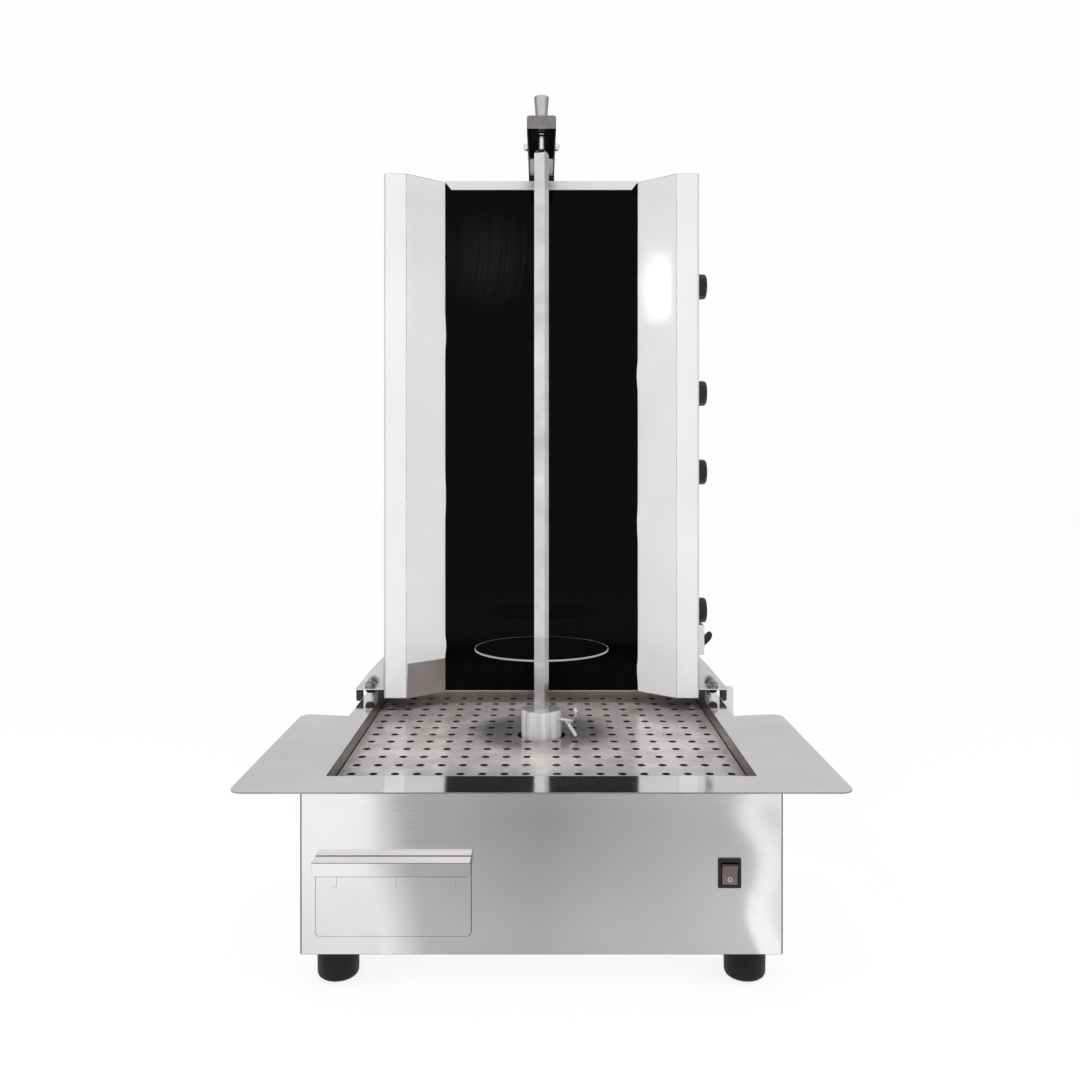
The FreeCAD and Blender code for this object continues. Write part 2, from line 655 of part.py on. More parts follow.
def make_skewer():
    """Square bar with eased corners, tapered at the tip, and centred for the top pin."""
    body = sub_part("skewer", 0, spindle_y, 0, (0, 0, 1), S.skewer_turn)
    low = socket_floor + S.socket_gap
    half = skewer_half
    shoulder = skewer_top - S.tip_long
    grow(body, "XY", low, shoulder - low, rectangle(-half, -half, half, half))
    narrow = half - S.skewer_bevel
    loft(body, "XY", shoulder, rectangle(-half, -half, half, half), skewer_top,
         rectangle(-narrow, -narrow, narrow, narrow))
    carve(body, "XY", skewer_top - S.tip_deep, S.tip_deep, circle(0, 0, S.tip_hole))
    carve(body, "YZ", -half, S.skewer_wide,
          circle(0, disc_pin_level, S.pin_round + S.pin_gap))


def make_meat_disc():
    """Round plate that carries the load, with a square eye for the skewer."""
    body = sub_part("meat_disc", 0, spindle_y, disc_level, (0, 0, 1), S.skewer_turn)
    eye = skewer_half + S.disc_gap
    grow(body, "XY", 0, S.disc_thick, circle(0, 0, S.disc_round),
         rectangle(-eye, -eye, eye, eye))


def make_disc_pin():
    """Cross pin through the skewer that the disc rests on."""
    body = sub_part("disc_pin", 0, spindle_y, disc_pin_level, (0, 0, 1), S.skewer_turn)
    grow(body, "YZ", -S.pin_half, S.pin_half * 2, circle(0, 0, S.pin_round))


def make_gearbox():
    """Closed cast gearbox with a bore that carries the output shaft."""
    body = sub_part("gearbox", 0, spindle_y, gearbox_low)
    half = S.gearbox_half
    deep = S.gearbox_deep
    grow(body, "XY", 0, S.gearbox_high, rectangle(-half, -deep, half, deep))
    ease(body, S.gearbox_corner, lambda edge: edge.BoundBox.ZLength > 1)
    seat = S.shaft_seat + S.slide_gap
    carve(body, "XY", S.gearbox_high - seat, seat,
          circle(0, 0, S.shaft_round + S.shaft_gap))


def make_motor():
    """Motor can under the gearbox, with a stepped end cap."""
    low = floor_top + S.motor_clear
    body = sub_part("motor", 0, spindle_y, low)
    r = S.motor_round
    long = gearbox_low - low
    step = S.motor_step
    spin(body, [(0, 0), (r - step * 2, 0), (r - step * 2, step), (r, step), (r, long),
                (0, long)])


def make_motor_bridge():
    """Folded bridge that holds the gearbox over the floor."""
    body = sub_part("motor_bridge")
    top = gearbox_top + S.bridge_wall
    half = S.bridge_half
    foot = floor_top
    grow(body, "XZ", spindle_y - S.bridge_deep, S.bridge_deep * 2, folded(
        [(half - S.bridge_foot, foot + S.bridge_wall), (half - S.bridge_wall, foot +
         S.bridge_wall), (half - S.bridge_wall, top - S.bridge_wall),
         (-(half - S.bridge_wall), top - S.bridge_wall),
         (-(half - S.bridge_wall), foot + S.bridge_wall),
         (-(half - S.bridge_foot), foot + S.bridge_wall)], S.bridge_wall, -1))
    carve(body, "XY", top - S.bridge_wall, S.bridge_wall,
          circle(0, spindle_y, S.bridge_eye))


# ---------------------------------------------------------------- grease drawer

def make_drawer_tray():
    """Folded grease tray, open on top, behind the drawer's front panel."""
    body = sub_part("drawer_tray")
    wall = S.drawer_wall
    grow(body, "XY", tray_low, tray_high,
         rectangle(tray_left, panel_back, tray_right, panel_back + S.tray_long))
    carve(body, "XY", tray_low + wall, tray_high - wall,
          rectangle(tray_left + wall, panel_back + wall, tray_right - wall,
                    panel_back + S.tray_long - wall))
    ease(body, S.tray_corner, lambda edge: edge.BoundBox.ZLength > 1 and
         on(edge, y=panel_back + S.tray_long))


def make_drawer_front():
    """Front panel that overlaps the opening, with rounded lower corners."""
    body = sub_part("drawer_front")
    grow(body, "XZ", panel_front, S.drawer_wall,
         rectangle(drawer_left, drawer_low, drawer_right, drawer_top))
    ease(body, S.drawer_corner, lambda edge: on(edge, z=drawer_low) and
         edge.BoundBox.YLength > 1)


def make_drawer_handle():
    """Bent pull along the top of the panel, held by three tabs that run down its face."""
    body = sub_part("drawer_handle")
    tip = panel_front - S.handle_out
    sheet_thick = S.handle_sheet
    grow(body, "YZ", drawer_left, S.drawer_wide, folded(
        [(panel_front, drawer_top), (tip, drawer_top), (tip, drawer_top - S.handle_lip)],
        sheet_thick, 1))
    ease(body, S.handle_bevel, lambda edge: on(edge, z=drawer_top - S.handle_lip) and
         edge.BoundBox.YLength > 1, "Chamfer")
    middle = drawer_left + S.drawer_wide / 2
    for step in (-1, 0, 1):
        left = middle + S.tab_pitch * step - S.tab_wide / 2
        grow(body, "XZ", panel_front - S.tab_thick, S.tab_thick,
             rectangle(left, drawer_top - S.tab_long, left + S.tab_wide,
                       drawer_top - sheet_thick / 2))
    ease(body, sheet_thick / 2, lambda edge: on(edge, y=tip, z=drawer_top))


def make_drawer_runners():
    """Two folded rails that carry the tray over the floor and guide its sides."""
    body = sub_part("drawer_runners")
    wall = S.runner_wall
    shelf = tray_low - S.slide_gap
    start = S.base_front + S.runner_inset
    long = panel_back + S.tray_long - S.runner_inset - start
    for edge_x, side in ((tray_left, 1), (tray_right, -1)):
        web = edge_x - (S.slide_gap + wall) * side
        lip = web + S.runner_wide * side
        grow(body, "XZ", start, long, folded(
            [(lip, floor_top), (web, floor_top), (web, shelf), (lip, shelf)], wall, -side))
        grow(body, "XZ", start, long, rectangle(
            *sorted_span(web, web + wall * side, shelf - wall, shelf + S.runner_guide)))


def sorted_span(x_a, x_b, low, high):
    left, right = sorted((x_a, x_b), key=lambda item: item.value)
    return left, low, right, high


# ---------------------------------------------------------------- switch and wiring

def make_switch_housing():
    """Snap-in switch: bezel on the front face and a body behind it, open for the rocker."""
    body = sub_part("switch_housing", switch_x, S.base_front, switch_z)
    half_wide = S.bezel_wide / 2
    half_high = S.bezel_high / 2
    grow(body, "XZ", -S.bezel_out, S.bezel_out,
         rectangle(-half_wide, -half_high, half_wide, half_high))
    ease(body, S.bezel_edge, lambda edge: edge.BoundBox.YLength > 1 or
         on(edge, y=-S.bezel_out))
    grow(body, "XZ", 0, S.switch_deep,
         rectangle(-S.switch_wide / 2, -S.switch_high / 2, S.switch_wide / 2,
                   S.switch_high / 2))
    wide = S.rocker_wide / 2 + S.rocker_gap
    high = S.rocker_high / 2 + S.rocker_gap
    carve(body, "XZ", -S.bezel_out, S.rocker_radius + S.rocker_gap,
          rectangle(-wide, -high, wide, high))


def make_rocker():
    """Rocker paddle with a dished face, tipped so that its lower end is pressed in."""
    body = sub_part("rocker", switch_x, S.base_front, switch_z, (1, 0, 0), S.rocker_tilt)
    half = S.rocker_high / 2 - S.rocker_gap * 2
    proud = S.bezel_out + S.rocker_dish
    slope = proud - S.rocker_slope
    cheek = half - S.rocker_shoulder
    grow(body, "YZ", -S.rocker_wide / 2, S.rocker_wide, polygon([
        (-proud, half), (-slope, half / 2), (-S.bezel_out, 0), (-slope, -half / 2),
        (-proud, -half), (0, -cheek), (S.rocker_sink, -half / 2), (S.rocker_sink, half / 2),
        (0, cheek)]))


def make_terminal_block():
    """Row of screw terminals on the floor."""
    body = sub_part("terminal_block", base_half - S.block_inset, base_back - S.block_back,
                    floor_top)
    grow(body, "XY", 0, S.block_high, rectangle(0, 0, S.block_long, S.block_wide))
    rung = S.block_long / S.block_cells
    rib = S.block_rib
    cell = carve(body, "XY", S.block_high / 2, S.block_high / 2,
                 rectangle(rib, rib * 2, rung - rib, S.block_wide - rib * 2))
    pattern(body, cell, ("X_Axis", rung, S.block_cells))


def make_cable_gland():
    """Screwed gland in the rear cover, with its dome nut outside."""
    body = sub_part("cable_gland", base_half - S.gland_inset, base_back,
                    base_low + S.gland_rise, (1, 0, 0), 270)
    r = S.gland_round
    bore = S.gland_bore
    spin(body, [(bore, -S.gland_in), (r, -S.gland_in), (r, 0), (S.gland_flange, 0),
                (S.gland_flange, S.gland_lip), (r, S.gland_lip), (S.gland_tip, S.gland_out),
                (bore, S.gland_out)])
    grow(body, "XY", -(S.base_wall + S.gland_nut_thick), S.gland_nut_thick,
         regular(0, 0, S.gland_nut, 6), circle(0, 0, r - S.shaft_gap / 5))


# ---------------------------------------------------------------- heater tower

def make_side_panels():
    """Flat side sheets with a return flange at the back."""
    for name, side in (("side_panel_left", -1), ("side_panel_right", 1)):
        body = sub_part(name)
        grow(body, "XY", tower_low, S.tower_high, folded(
            [(tower_half * side, tower_front), (tower_half * side, tower_back_y),
             ((tower_half - S.wing_return) * side, tower_back_y)], S.tower_wall, side))
        if side > 0:
            for level in knob_levels():
                carve(body, "YZ", panel_inner, S.tower_wall,
                      circle(knob_y, level, S.knob_stem + S.cover_gap))


def knob_levels():
    return [tower_low + getattr(S, f"knob_rise_{i}") for i in range(1, 5)]


def make_wings():
    """Folded reflector wings: a narrow flat in front, then a slope back to the glass."""
    for name, side in (("wing_left", -1), ("wing_right", 1)):
        body = sub_part(name)
        outer = (panel_inner - S.sheet_gap) * side
        crest = (panel_inner - S.sheet_gap - S.flat_wide) * side
        edge_x = glass_half * side
        front = tower_front
        grow(body, "XY", tower_low, S.tower_high, folded(
            [(outer, front + S.wing_return), (outer, front), (crest, front),
             (edge_x, glass_front), (edge_x, glass_front + S.wing_lip)], S.tower_wall, -side))
        ease(body, S.tower_wall, lambda edge, x=crest: on(edge, x=x, y=front))


def tower_plan(inset):
    """The plan of the tower inside its side sheets and wings."""
    side = panel_inner - inset
    crest = panel_inner - S.flat_wide - inset / 2
    corner = glass_half + S.tower_wall + inset
    front = tower_front + S.tower_wall + inset
    slope = glass_front + S.tower_wall + inset
    back = tower_back_y - S.tower_wall - inset
    half = [(side, back), (side - S.tower_wall, back), (side - S.tower_wall, front),
            (crest, front), (corner, slope)]
    return polygon([half[0]] + half[2:] + [(-x, y) for x, y in half[:1:-1]] +
                   [(-side, back)])


def lip_notches(body, level):
    """Notches in the roof or the floor that let the lips of the wings through."""
    front = glass_front
    back = glass_front + S.wing_lip + S.cover_gap
    near_side = glass_half - S.cover_gap
    far_side = glass_half + S.tower_wall + S.cover_gap
    carve(body, "XY", level, S.tower_wall, rectangle(near_side, front, far_side, back),
          rectangle(-far_side, front, -near_side, back))


def make_roof():
    """Top sheet between the wings and the back, pierced by a row of heat slots."""
    body = sub_part("roof")
    grow(body, "XY", tower_top - S.tower_wall, S.tower_wall, tower_plan(S.tower_wall))
    lip_notches(body, tower_top - S.tower_wall)
    left = S.arm_half * 2
    front = tower_back_y - S.heat_slot_long * 2
    slot = carve(body, "XY", tower_top - S.tower_wall, S.tower_wall,
                 rectangle(left, front, left + S.heat_slot_wide, front + S.heat_slot_long))
    count = whole((tower_half - left - S.wing_return * 2) / S.heat_slot_pitch)
    pattern(body, slot, ("X_Axis", S.heat_slot_pitch, count), ("YZ_Plane",))


def make_tower_floor():
    """Bottom sheet of the tower."""
    body = sub_part("tower_floor")
    grow(body, "XY", tower_low, S.tower_wall, tower_plan(S.tower_wall))
    lip_notches(body, tower_low)


def make_tower_back():
    """Rear cover of the tower with two ladders of louvres."""
    body = sub_part("tower_back")
    half = tower_half - S.wing_return + S.tower_wall * 2
    back = tower_back_y - S.tower_wall - S.sheet_gap
    low = tower_low + S.tower_wall + S.sheet_gap
    grow(body, "XZ", back - S.tower_wall, S.tower_wall,
         rectangle(-half, low, half, tower_top - S.tower_wall - S.sheet_gap))
    slot = carve(body, "XZ", back - S.tower_wall, S.tower_wall,
                 rectangle(S.louvre_pitch, low + S.louvre_pitch,
                           S.louvre_pitch + S.louvre_long,
                           low + S.louvre_pitch + S.louvre_wide))
    count = whole((S.tower_high - S.louvre_pitch * 2) / S.louvre_pitch)
    pattern(body, slot, ("Z_Axis", S.louvre_pitch, count), ("YZ_Plane",))


def make_glass():
    """Black ceramic glass in front of the heaters."""
    body = sub_part("ceramic_glass")
    half = glass_half - S.sheet_gap
    inset = S.tower_wall + S.sheet_gap
    grow(body, "XZ", glass_front, S.glass_thick,
         rectangle(-half, tower_low + inset, half, tower_top - inset))


def make_top_trim():
    """Folded strip that hooks over the roof and hides the top of the glass; its lower
    corners are cut back to the slope of the wings."""
    body = sub_part("top_trim")
    half = glass_half - S.sheet_gap
    low = tower_top - S.trim_high
    crown = tower_top + S.trim_gap
    face = glass_front - S.trim_gap
    grow(body, "YZ", -half, half * 2, folded(
        [(face, low), (face, crown), (glass_front + S.trim_back, crown)], S.tower_wall, 1))
    for side in (-1, 1):
        carve(body, "XZ", face - S.tower_wall, S.tower_wall, polygon(
            [(half * side, low), ((half - S.trim_mitre) * side, low), (half * side, tower_top)]))


def heater_span():
    """Depth of the heater's back, and the height of one zone with its gap."""
    back = glass_front + S.glass_thick + S.heater_gap + S.heater_thick
    pitch = (S.tower_high - S.trim_high - S.heater_margin * 2) / 4
    return back, pitch


def make_heaters():
    """Four radiant panels one above the other, each dished in front."""
    back, pitch = heater_span()
    half = glass_half - S.heater_side
    for zone in range(4):
        low = tower_low + S.heater_margin + pitch * zone
        body = sub_part(f"heater_{zone + 1}", 0, back - S.heater_thick, low)
        high = pitch - S.heater_gap
        grow(body, "XZ", 0, S.heater_thick, rectangle(-half, 0, half, high))
        carve(body, "XZ", 0, S.heater_dish,
              rectangle(-(half - S.heater_rim), S.heater_rim, half - S.heater_rim,
                        high - S.heater_rim))


def make_insulation():
    """Insulation board that carries the heaters between the lips of the wings."""
    body = sub_part("insulation_board")
    back, pitch = heater_span()
    half = glass_half - S.sheet_gap
    low = tower_low + S.tower_wall
    grow(body, "XZ", back, S.board_thick,
         rectangle(-half, low, half, low + S.tower_high - S.tower_wall * 3 - S.cover_gap))


def make_regulators():
    """Four energy regulators on the inside of the right-hand panel."""
    half = S.regulator_half
    body = sub_part("regulators", panel_inner - S.regulator_deep, 0, 0)
    grow(body, "YZ", 0, S.regulator_deep,
         *[rectangle(knob_y - half, level - half, knob_y + half, level + half)
           for level in knob_levels()])
    carve(body, "YZ", S.regulator_deep / 2, S.regulator_deep / 2,
          *[circle(knob_y, level, S.knob_stem + S.knob_stem_gap) for level in knob_levels()])


def make_knobs():
    """Control knobs: a round grip, bevelled in front, with a pointer groove and a stem."""
    for i, level in enumerate(knob_levels(), start=1):
        body = sub_part(f"knob_{i}", tower_half, knob_y, level, (0, 1, 0), 90)
        grip = S.knob_round
        out = S.knob_out
        start = S.knob_gap
        stem_in = -(S.regulator_deep / 2 - S.knob_gap) - S.tower_wall
        spin(body, [(0, stem_in), (S.knob_stem, stem_in), (S.knob_stem, start), (grip, start),
                    (grip, out - S.knob_dome), (grip - S.knob_dome, out), (0, out)])
        half = S.pointer_wide / 2
        carve(body, "XY", out - S.pointer_deep, S.pointer_deep,
              rectangle(-grip, -half, -S.pointer_start, half))


# ---------------------------------------------------------------- carriage

def make_carriages():
    """Bent brackets on both sides: a web on the tower, a flange over the deck and two gussets."""
    for name, side in (("carriage_left", -1), ("carriage_right", 1)):
        body = sub_part(name)
        wall = S.flange_sheet
        root = tower_half * side
        grow(body, "XZ", carriage_front, S.carriage_long, folded(
            [(root, flange_level + S.gusset_high), (root, flange_level),
             (carriage_end * side, flange_level)], wall, side))
        for start in (S.gusset_front, S.gusset_back):
            grow(body, "XZ", carriage_front + start, wall, polygon([
                (root, flange_level), (carriage_end * side, flange_top),
                ((tower_half + S.gusset_flat) * side, flange_level + S.gusset_high),
                (root, flange_level + S.gusset_high)]))


def carriage_corners():
    """Both ends of both carriages, as side, front of the shoe and whether it is the rear one."""
    for side in (-1, 1):
        for start, rear in ((S.shoe_front, False), (S.shoe_back, True)):
            yield side, carriage_front + start, rear


def make_glide_shoes():
    """Nylon shoes that carry the tower: the front pair on the pan's rim, the rear on the deck."""
    body = sub_part("glide_shoes")
    for side, start, rear in carriage_corners():
        inner = (basin_half + S.rim_land + S.shoe_inset if rear else
                 tower_half + S.flange_sheet)
        low = (base_top if rear else rim_top) + S.rail_gap
        left, _, right, _ = sorted_span(inner * side, (inner + S.shoe_wide) * side, low, low)
        grow(body, "XY", low, flange_level - low,
             rectangle(left, start, right, start + S.shoe_long))


def make_guide_hooks():
    """Nylon guides outside the base that keep the tower square on its slide."""
    body = sub_part("guide_hooks")
    inner = base_half + S.rail_gap
    low = base_top - S.hook_drop
    for side, start, _ in carriage_corners():
        left, _, right, _ = sorted_span(inner * side, (inner + S.hook_wide) * side, 0, 0)
        grow(body, "XY", low, flange_level - low,
             rectangle(left, start, right, start + S.shoe_long))
    ease(body, S.hook_edge, lambda edge: on(edge, z=low) and edge.BoundBox.YLength > 1)


def bolt_places():
    """Bolts in the flanges: outside the front shoes, and in front of the rear ones."""
    x = tower_half + S.bolt_out
    return [(x * side, start - S.bolt_clear if rear else start + S.bolt_in)
            for side, start, rear in carriage_corners()]


def make_carriage_nuts():
    """Hexagon nuts that clamp the buffers to the flanges."""
    body = sub_part("carriage_nuts")
    grow(body, "XY", flange_top, S.nut_high,
         *[regular(x, y, S.nut_flats, 6) for x, y in bolt_places()])


def make_carriage_buffers():
    """Round rubber buffers under the flanges."""
    body = sub_part("carriage_buffers")
    grow(body, "XY", flange_level - S.buffer_high, S.buffer_high,
         *[circle(x, y, S.buffer_round) for x, y in bolt_places()])


def make_clamp_plate():
    """Upright plate under the right-hand flange, outside the base."""
    body = sub_part("clamp_plate")
    start = carriage_front + S.shoe_front + S.shoe_long
    right = tower_half + S.clamp_out
    grow(body, "XZ", start, S.clamp_sheet,
         rectangle(base_half + S.rail_gap * 2, base_top - S.clamp_drop, right,
                   flange_level))
    ease(body, S.clamp_corner, lambda edge: on(edge, x=right) and edge.BoundBox.YLength > 1)


# ---------------------------------------------------------------- latch

def make_latch_box():
    """Small housing on the right-hand side, slotted for its lever, with the pin across."""
    body = sub_part("latch_box", tower_half, tower_front + S.latch_back,
                    tower_low + S.latch_rise)
    half = S.latch_deep / 2
    out = S.latch_out
    pivot = S.latch_pivot
    grow(body, "XY", 0, S.latch_high, rectangle(0, -half, out, half))
    ease(body, S.latch_edge, lambda edge: on(edge, x=out))
    slot = S.lever_slot / 2
    carve(body, "XZ", -slot, S.lever_slot,
          rectangle(S.latch_lip, pivot - S.latch_slot_low, out, pivot + S.latch_slot_high))
    grow(body, "XZ", -slot, S.lever_slot,
         circle(S.latch_pivot_out, pivot, S.lever_round / 2))


def make_latch_lever():
    """Curved thumb lever that stands up and outwards, thickest at its tip."""
    body = sub_part("latch_lever", tower_half + S.latch_pivot_out, tower_front + S.latch_back,
                    tower_low + S.latch_rise + S.latch_pivot)
    grow(body, "XZ", -S.lever_wide / 2, S.lever_wide, polygon(
        [(S.lever_long * out, S.lever_rise * up) for out, up in LEVER]))
    carve(body, "XZ", -S.lever_wide / 2, S.lever_wide,
          circle(0, 0, S.lever_round / 2 + S.lever_gap))


# ---------------------------------------------------------------- top holder

def make_arm_channel():
    """Inverted channel over the skewer, closed in front and slotted on top."""
    body = sub_part("arm_channel")
    half = S.arm_half
    front = spindle_y - S.arm_nose
    back = tower_front + S.arm_tail
    grow(body, "XY", arm_level, S.arm_high, rectangle(-half, front, half, back))
    ease(body, S.arm_corner, lambda edge: on(edge, z=arm_top) and edge.BoundBox.YLength > 1)
    carve(body, "XY", arm_level, S.arm_high - S.arm_wall,
          rectangle(-arm_inner, front + S.arm_wall, arm_inner, back))
    slot = S.stud_round + S.slide_gap
    carve(body, "XY", arm_inner_top, S.arm_wall,
          rectangle(-slot, clamp_stud_y - S.slot_ahead, slot, clamp_stud_y + S.slot_behind),
          circle(0, spindle_y, S.bush_round))
    carve(body, "YZ", -half, half * 2, circle(spindle_y + S.cross_back,
                                              arm_level + S.cross_rise,
                                              S.cross_round + S.cross_gap))


def make_arm_guide():
    """Flat bar on the roof that the channel slides along."""
    body = sub_part("arm_guide")
    half = arm_inner - S.slide_gap
    grow(body, "XY", guide_low, S.guide_thick,
         rectangle(-half, tower_front - S.guide_lead, half,
                   tower_front + S.pad_back + S.pad_long))


def make_arm_pads():
    """Black spacer pads between the roof and the guide bar."""
    body = sub_part("arm_pads")
    for start in (tower_front + S.pad_front, tower_front + S.pad_back):
        for side in (-1, 1):
            left, _, right, _ = sorted_span((S.arm_half - S.pad_wide) * side,
                                            S.arm_half * side, 0, 0)
            grow(body, "XY", tower_top, guide_low - tower_top,
                 rectangle(left, start, right, start + S.pad_long))


def make_arm_clamp():
    """Stud, washer and nut that lock the channel on the guide bar."""
    low = guide_low + S.guide_thick
    body = sub_part("arm_clamp", 0, clamp_stud_y, low)
    washer = arm_top + S.slide_gap - low
    nut = washer + S.clamp_washer_thick
    grow(body, "XY", 0, nut + S.nut_high + S.stud_proud, circle(0, 0, S.stud_round))
    grow(body, "XY", washer, S.clamp_washer_thick, circle(0, 0, S.clamp_washer))
    grow(body, "XY", nut, S.nut_high, regular(0, 0, S.nut_flats, 6))


def make_cross_bolt():
    """Domed screw through each side wall of the channel, its end just inside the wall."""
    body = sub_part("cross_bolt", 0, spindle_y + S.cross_back, arm_level + S.cross_rise,
                    (0, 1, 0), 90)
    head = S.cross_head
    half = S.arm_half
    out = half + S.cross_out
    rim = out - S.cross_crown
    tip = half - S.cross_in
    for side in (-1, 1):
        spin(body, [(0, tip * side), (S.cross_round, tip * side), (S.cross_round, half * side),
                    (head, half * side), (head, rim * side), (S.cross_flat, out * side),
                    (0, out * side)])


def make_plunger_bush():
    """Flanged bush that guides the pull pin through the top of the channel."""
    body = sub_part("plunger_bush", 0, spindle_y, arm_inner_top)
    bore = S.pin_size + S.shaft_gap * 2
    lip = S.arm_wall
    spin(body, [(bore, 0), (S.bush_round, 0), (S.bush_round, lip), (S.bush_flange, lip),
                (S.bush_flange, lip + S.bush_lip), (bore, lip + S.bush_lip)])


def make_plunger_pin():
    """Pull pin whose point centres the skewer, with a shoulder under the spring."""
    body = sub_part("plunger_pin", 0, spindle_y, pin_low)
    r = S.pin_size
    point = S.pin_point
    shoulder = shoulder_low - pin_low
    top = pull_knob_low - pin_low
    spin(body, [(0, 0), (r - point, 0), (r, point), (r, shoulder), (S.pin_shoulder, shoulder),
                (S.pin_shoulder, shoulder + S.shoulder_high), (r, shoulder + S.shoulder_high),
                (r, top), (0, top)])


def make_plunger_spring():
    """Compression spring between the shoulder and the bush, drawn as its sleeve."""
    low = shoulder_low + S.shoulder_high + S.cover_gap
    body = sub_part("plunger_spring", 0, spindle_y, low)
    high = arm_inner_top - S.cover_gap - low
    grow(body, "XY", 0, high, circle(0, 0, S.spring_round),
         circle(0, 0, S.spring_round - S.spring_wire))


def make_pull_knob():
    """Turned conical knob that flares towards the top."""
    body = sub_part("pull_knob", 0, spindle_y, pull_knob_low)
    high = S.pull_high
    low_r = S.pull_low
    top_r = S.pull_top
    edge = S.pull_edge
    spin(body, [(0, 0), (low_r - edge, 0), (low_r, edge), (top_r, high - edge),
                (top_r - edge, high), (0, high)])


for make in (make_base_shell, make_base_floor, make_rear_cover, make_feet, make_catch_pan,
             make_perforated_plate, make_drive_collar, make_output_shaft,
             make_wing_screw, make_skewer, make_meat_disc, make_disc_pin, make_gearbox,
             make_motor, make_motor_bridge, make_drawer_tray, make_drawer_front,
             make_drawer_handle, make_drawer_runners, make_switch_housing, make_rocker,
             make_terminal_block, make_cable_gland, make_side_panels, make_wings, make_roof,
             make_tower_floor, make_tower_back, make_glass, make_top_trim, make_heaters,
             make_insulation, make_regulators, make_knobs, make_carriages, make_glide_shoes,
             make_guide_hooks, make_carriage_nuts, make_carriage_buffers, make_clamp_plate,
             make_latch_box, make_latch_lever, make_arm_channel, make_arm_guide,
             make_arm_pads, make_arm_clamp, make_cross_bolt, make_plunger_bush,
             make_plunger_pin, make_plunger_spring, make_pull_knob):
    make()
document.recompute()

for item in document.Objects:
    if "Invalid" in item.State or "Error" in item.State:
        raise RuntimeError(f"{item.Name} ({item.Label}) did not build: {item.State}")
for label, before, cut in cuts:
    if cut.Shape.Volume > before.Shape.Volume - 1e-6:
        raise RuntimeError(f"{label}: {cut.Name} removed nothing")
shapes = {body.Label: body.Shape for body in sub_parts}
for label, shape in shapes.items():
    if shape.isNull() or not shape.isValid() or not shape.Solids:
        raise RuntimeError(f"{label} has no valid solid")

os.makedirs("parts", exist_ok=True)
for label, shape in shapes.items():
    shape.exportStep(os.path.join("parts", f"{label}.step"))
print(len(shapes), "nodes,", sum(len(shape.Solids) for shape in shapes.values()), "solids")
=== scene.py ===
# %% [markdown]
# An electric skewer grill stands on rubber feet: a stainless base with a grease drawer, a
# catch pan under a driven skewer, and a tower of radiant heaters that slides behind it.
# The solid model is already there, piece by piece and in its real place, so this file loads
# it as a fixed frame and gives it finishes, finer pieces, light and a camera.

# %% Load the frame
import math
import random

import bmesh
import bpy
from mathutils import Matrix, Vector


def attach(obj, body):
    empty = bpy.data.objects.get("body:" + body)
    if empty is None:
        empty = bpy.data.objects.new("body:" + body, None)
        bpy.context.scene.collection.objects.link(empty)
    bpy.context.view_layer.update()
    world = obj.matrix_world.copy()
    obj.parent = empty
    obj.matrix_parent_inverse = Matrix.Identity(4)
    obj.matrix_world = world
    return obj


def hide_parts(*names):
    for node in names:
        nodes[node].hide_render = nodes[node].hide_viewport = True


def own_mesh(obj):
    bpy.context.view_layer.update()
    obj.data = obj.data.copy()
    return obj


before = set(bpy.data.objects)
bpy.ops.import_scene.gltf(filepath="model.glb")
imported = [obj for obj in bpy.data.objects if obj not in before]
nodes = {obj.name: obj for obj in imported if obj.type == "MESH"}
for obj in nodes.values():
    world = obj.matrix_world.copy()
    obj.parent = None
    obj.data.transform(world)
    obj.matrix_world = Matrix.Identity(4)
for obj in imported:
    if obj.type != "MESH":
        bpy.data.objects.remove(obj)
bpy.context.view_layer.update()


random.seed(11)

# %% [markdown]
# Sizes of a kitchen machine are thought of in millimetres and Blender counts in metres.
# One number turns the first into the second, and is used wherever a size is written.

# %% Millimetres
MM = 0.001
BASE_FRONT, SPINDLE_Y = -260, -17
SKEWER_TURN = math.radians(-22)
TOWER_HALF, TOWER_TOP, GLASS_FRONT = 227, 986.8, 160
ARM_HALF, ARM_TOP = 19, 1019
X, Y, Z = 0, 1, 2


def point(x, y, z):
    return Vector((x, y, z)) * MM


def at(x, y, z, turn=0.0, axis="Z"):
    """A place in millimetres, with a turn about one axis, as a matrix in metres."""
    return Matrix.Translation(point(x, y, z)) @ Matrix.Rotation(turn, 4, axis)


SIDEWAYS = Matrix.Rotation(math.pi / 2, 4, "Y")

# %% [markdown]
# Paint charts and swatches give colours as sRGB hex values, and a shader counts light in
# linear numbers. Every colour in this file goes through this one function.

# %% Colours
def linear(hex_colour):
    """Linear red, green, blue and alpha of a colour such as "#d9d7d6"."""
    values = [int(hex_colour[i:i + 2], 16) / 255 for i in (1, 3, 5)]
    return [v / 12.92 if v <= 0.04045 else ((v + 0.055) / 1.055) ** 2.4 for v in values] + [1]


# %% [markdown]
# A material is a small graph. One helper adds a node, fills its settings and joins its
# inputs, so that each finish below reads as a short list of what it is made of.

# %% Nodes
def add_node(tree, kind, inputs=None, **settings):
    """Add a node. An input is a number, a colour, or the socket that feeds it."""
    node = tree.nodes.new(kind)
    for name, value in settings.items():
        setattr(node, name, value)
    for key, value in (inputs or {}).items():
        if isinstance(value, bpy.types.NodeSocket):
            tree.links.new(value, node.inputs[key])
        else:
            node.inputs[key].default_value = value
    return node


def maths(tree, operation, *values):
    """One sum on numbers or sockets, such as MULTIPLY or LESS_THAN."""
    return add_node(tree, "ShaderNodeMath", dict(enumerate(values)),
                    operation=operation).outputs[0]


def chained(tree, operation, first, *others):
    """One sum over several values in turn."""
    for other in others:
        first = maths(tree, operation, first, other)
    return first


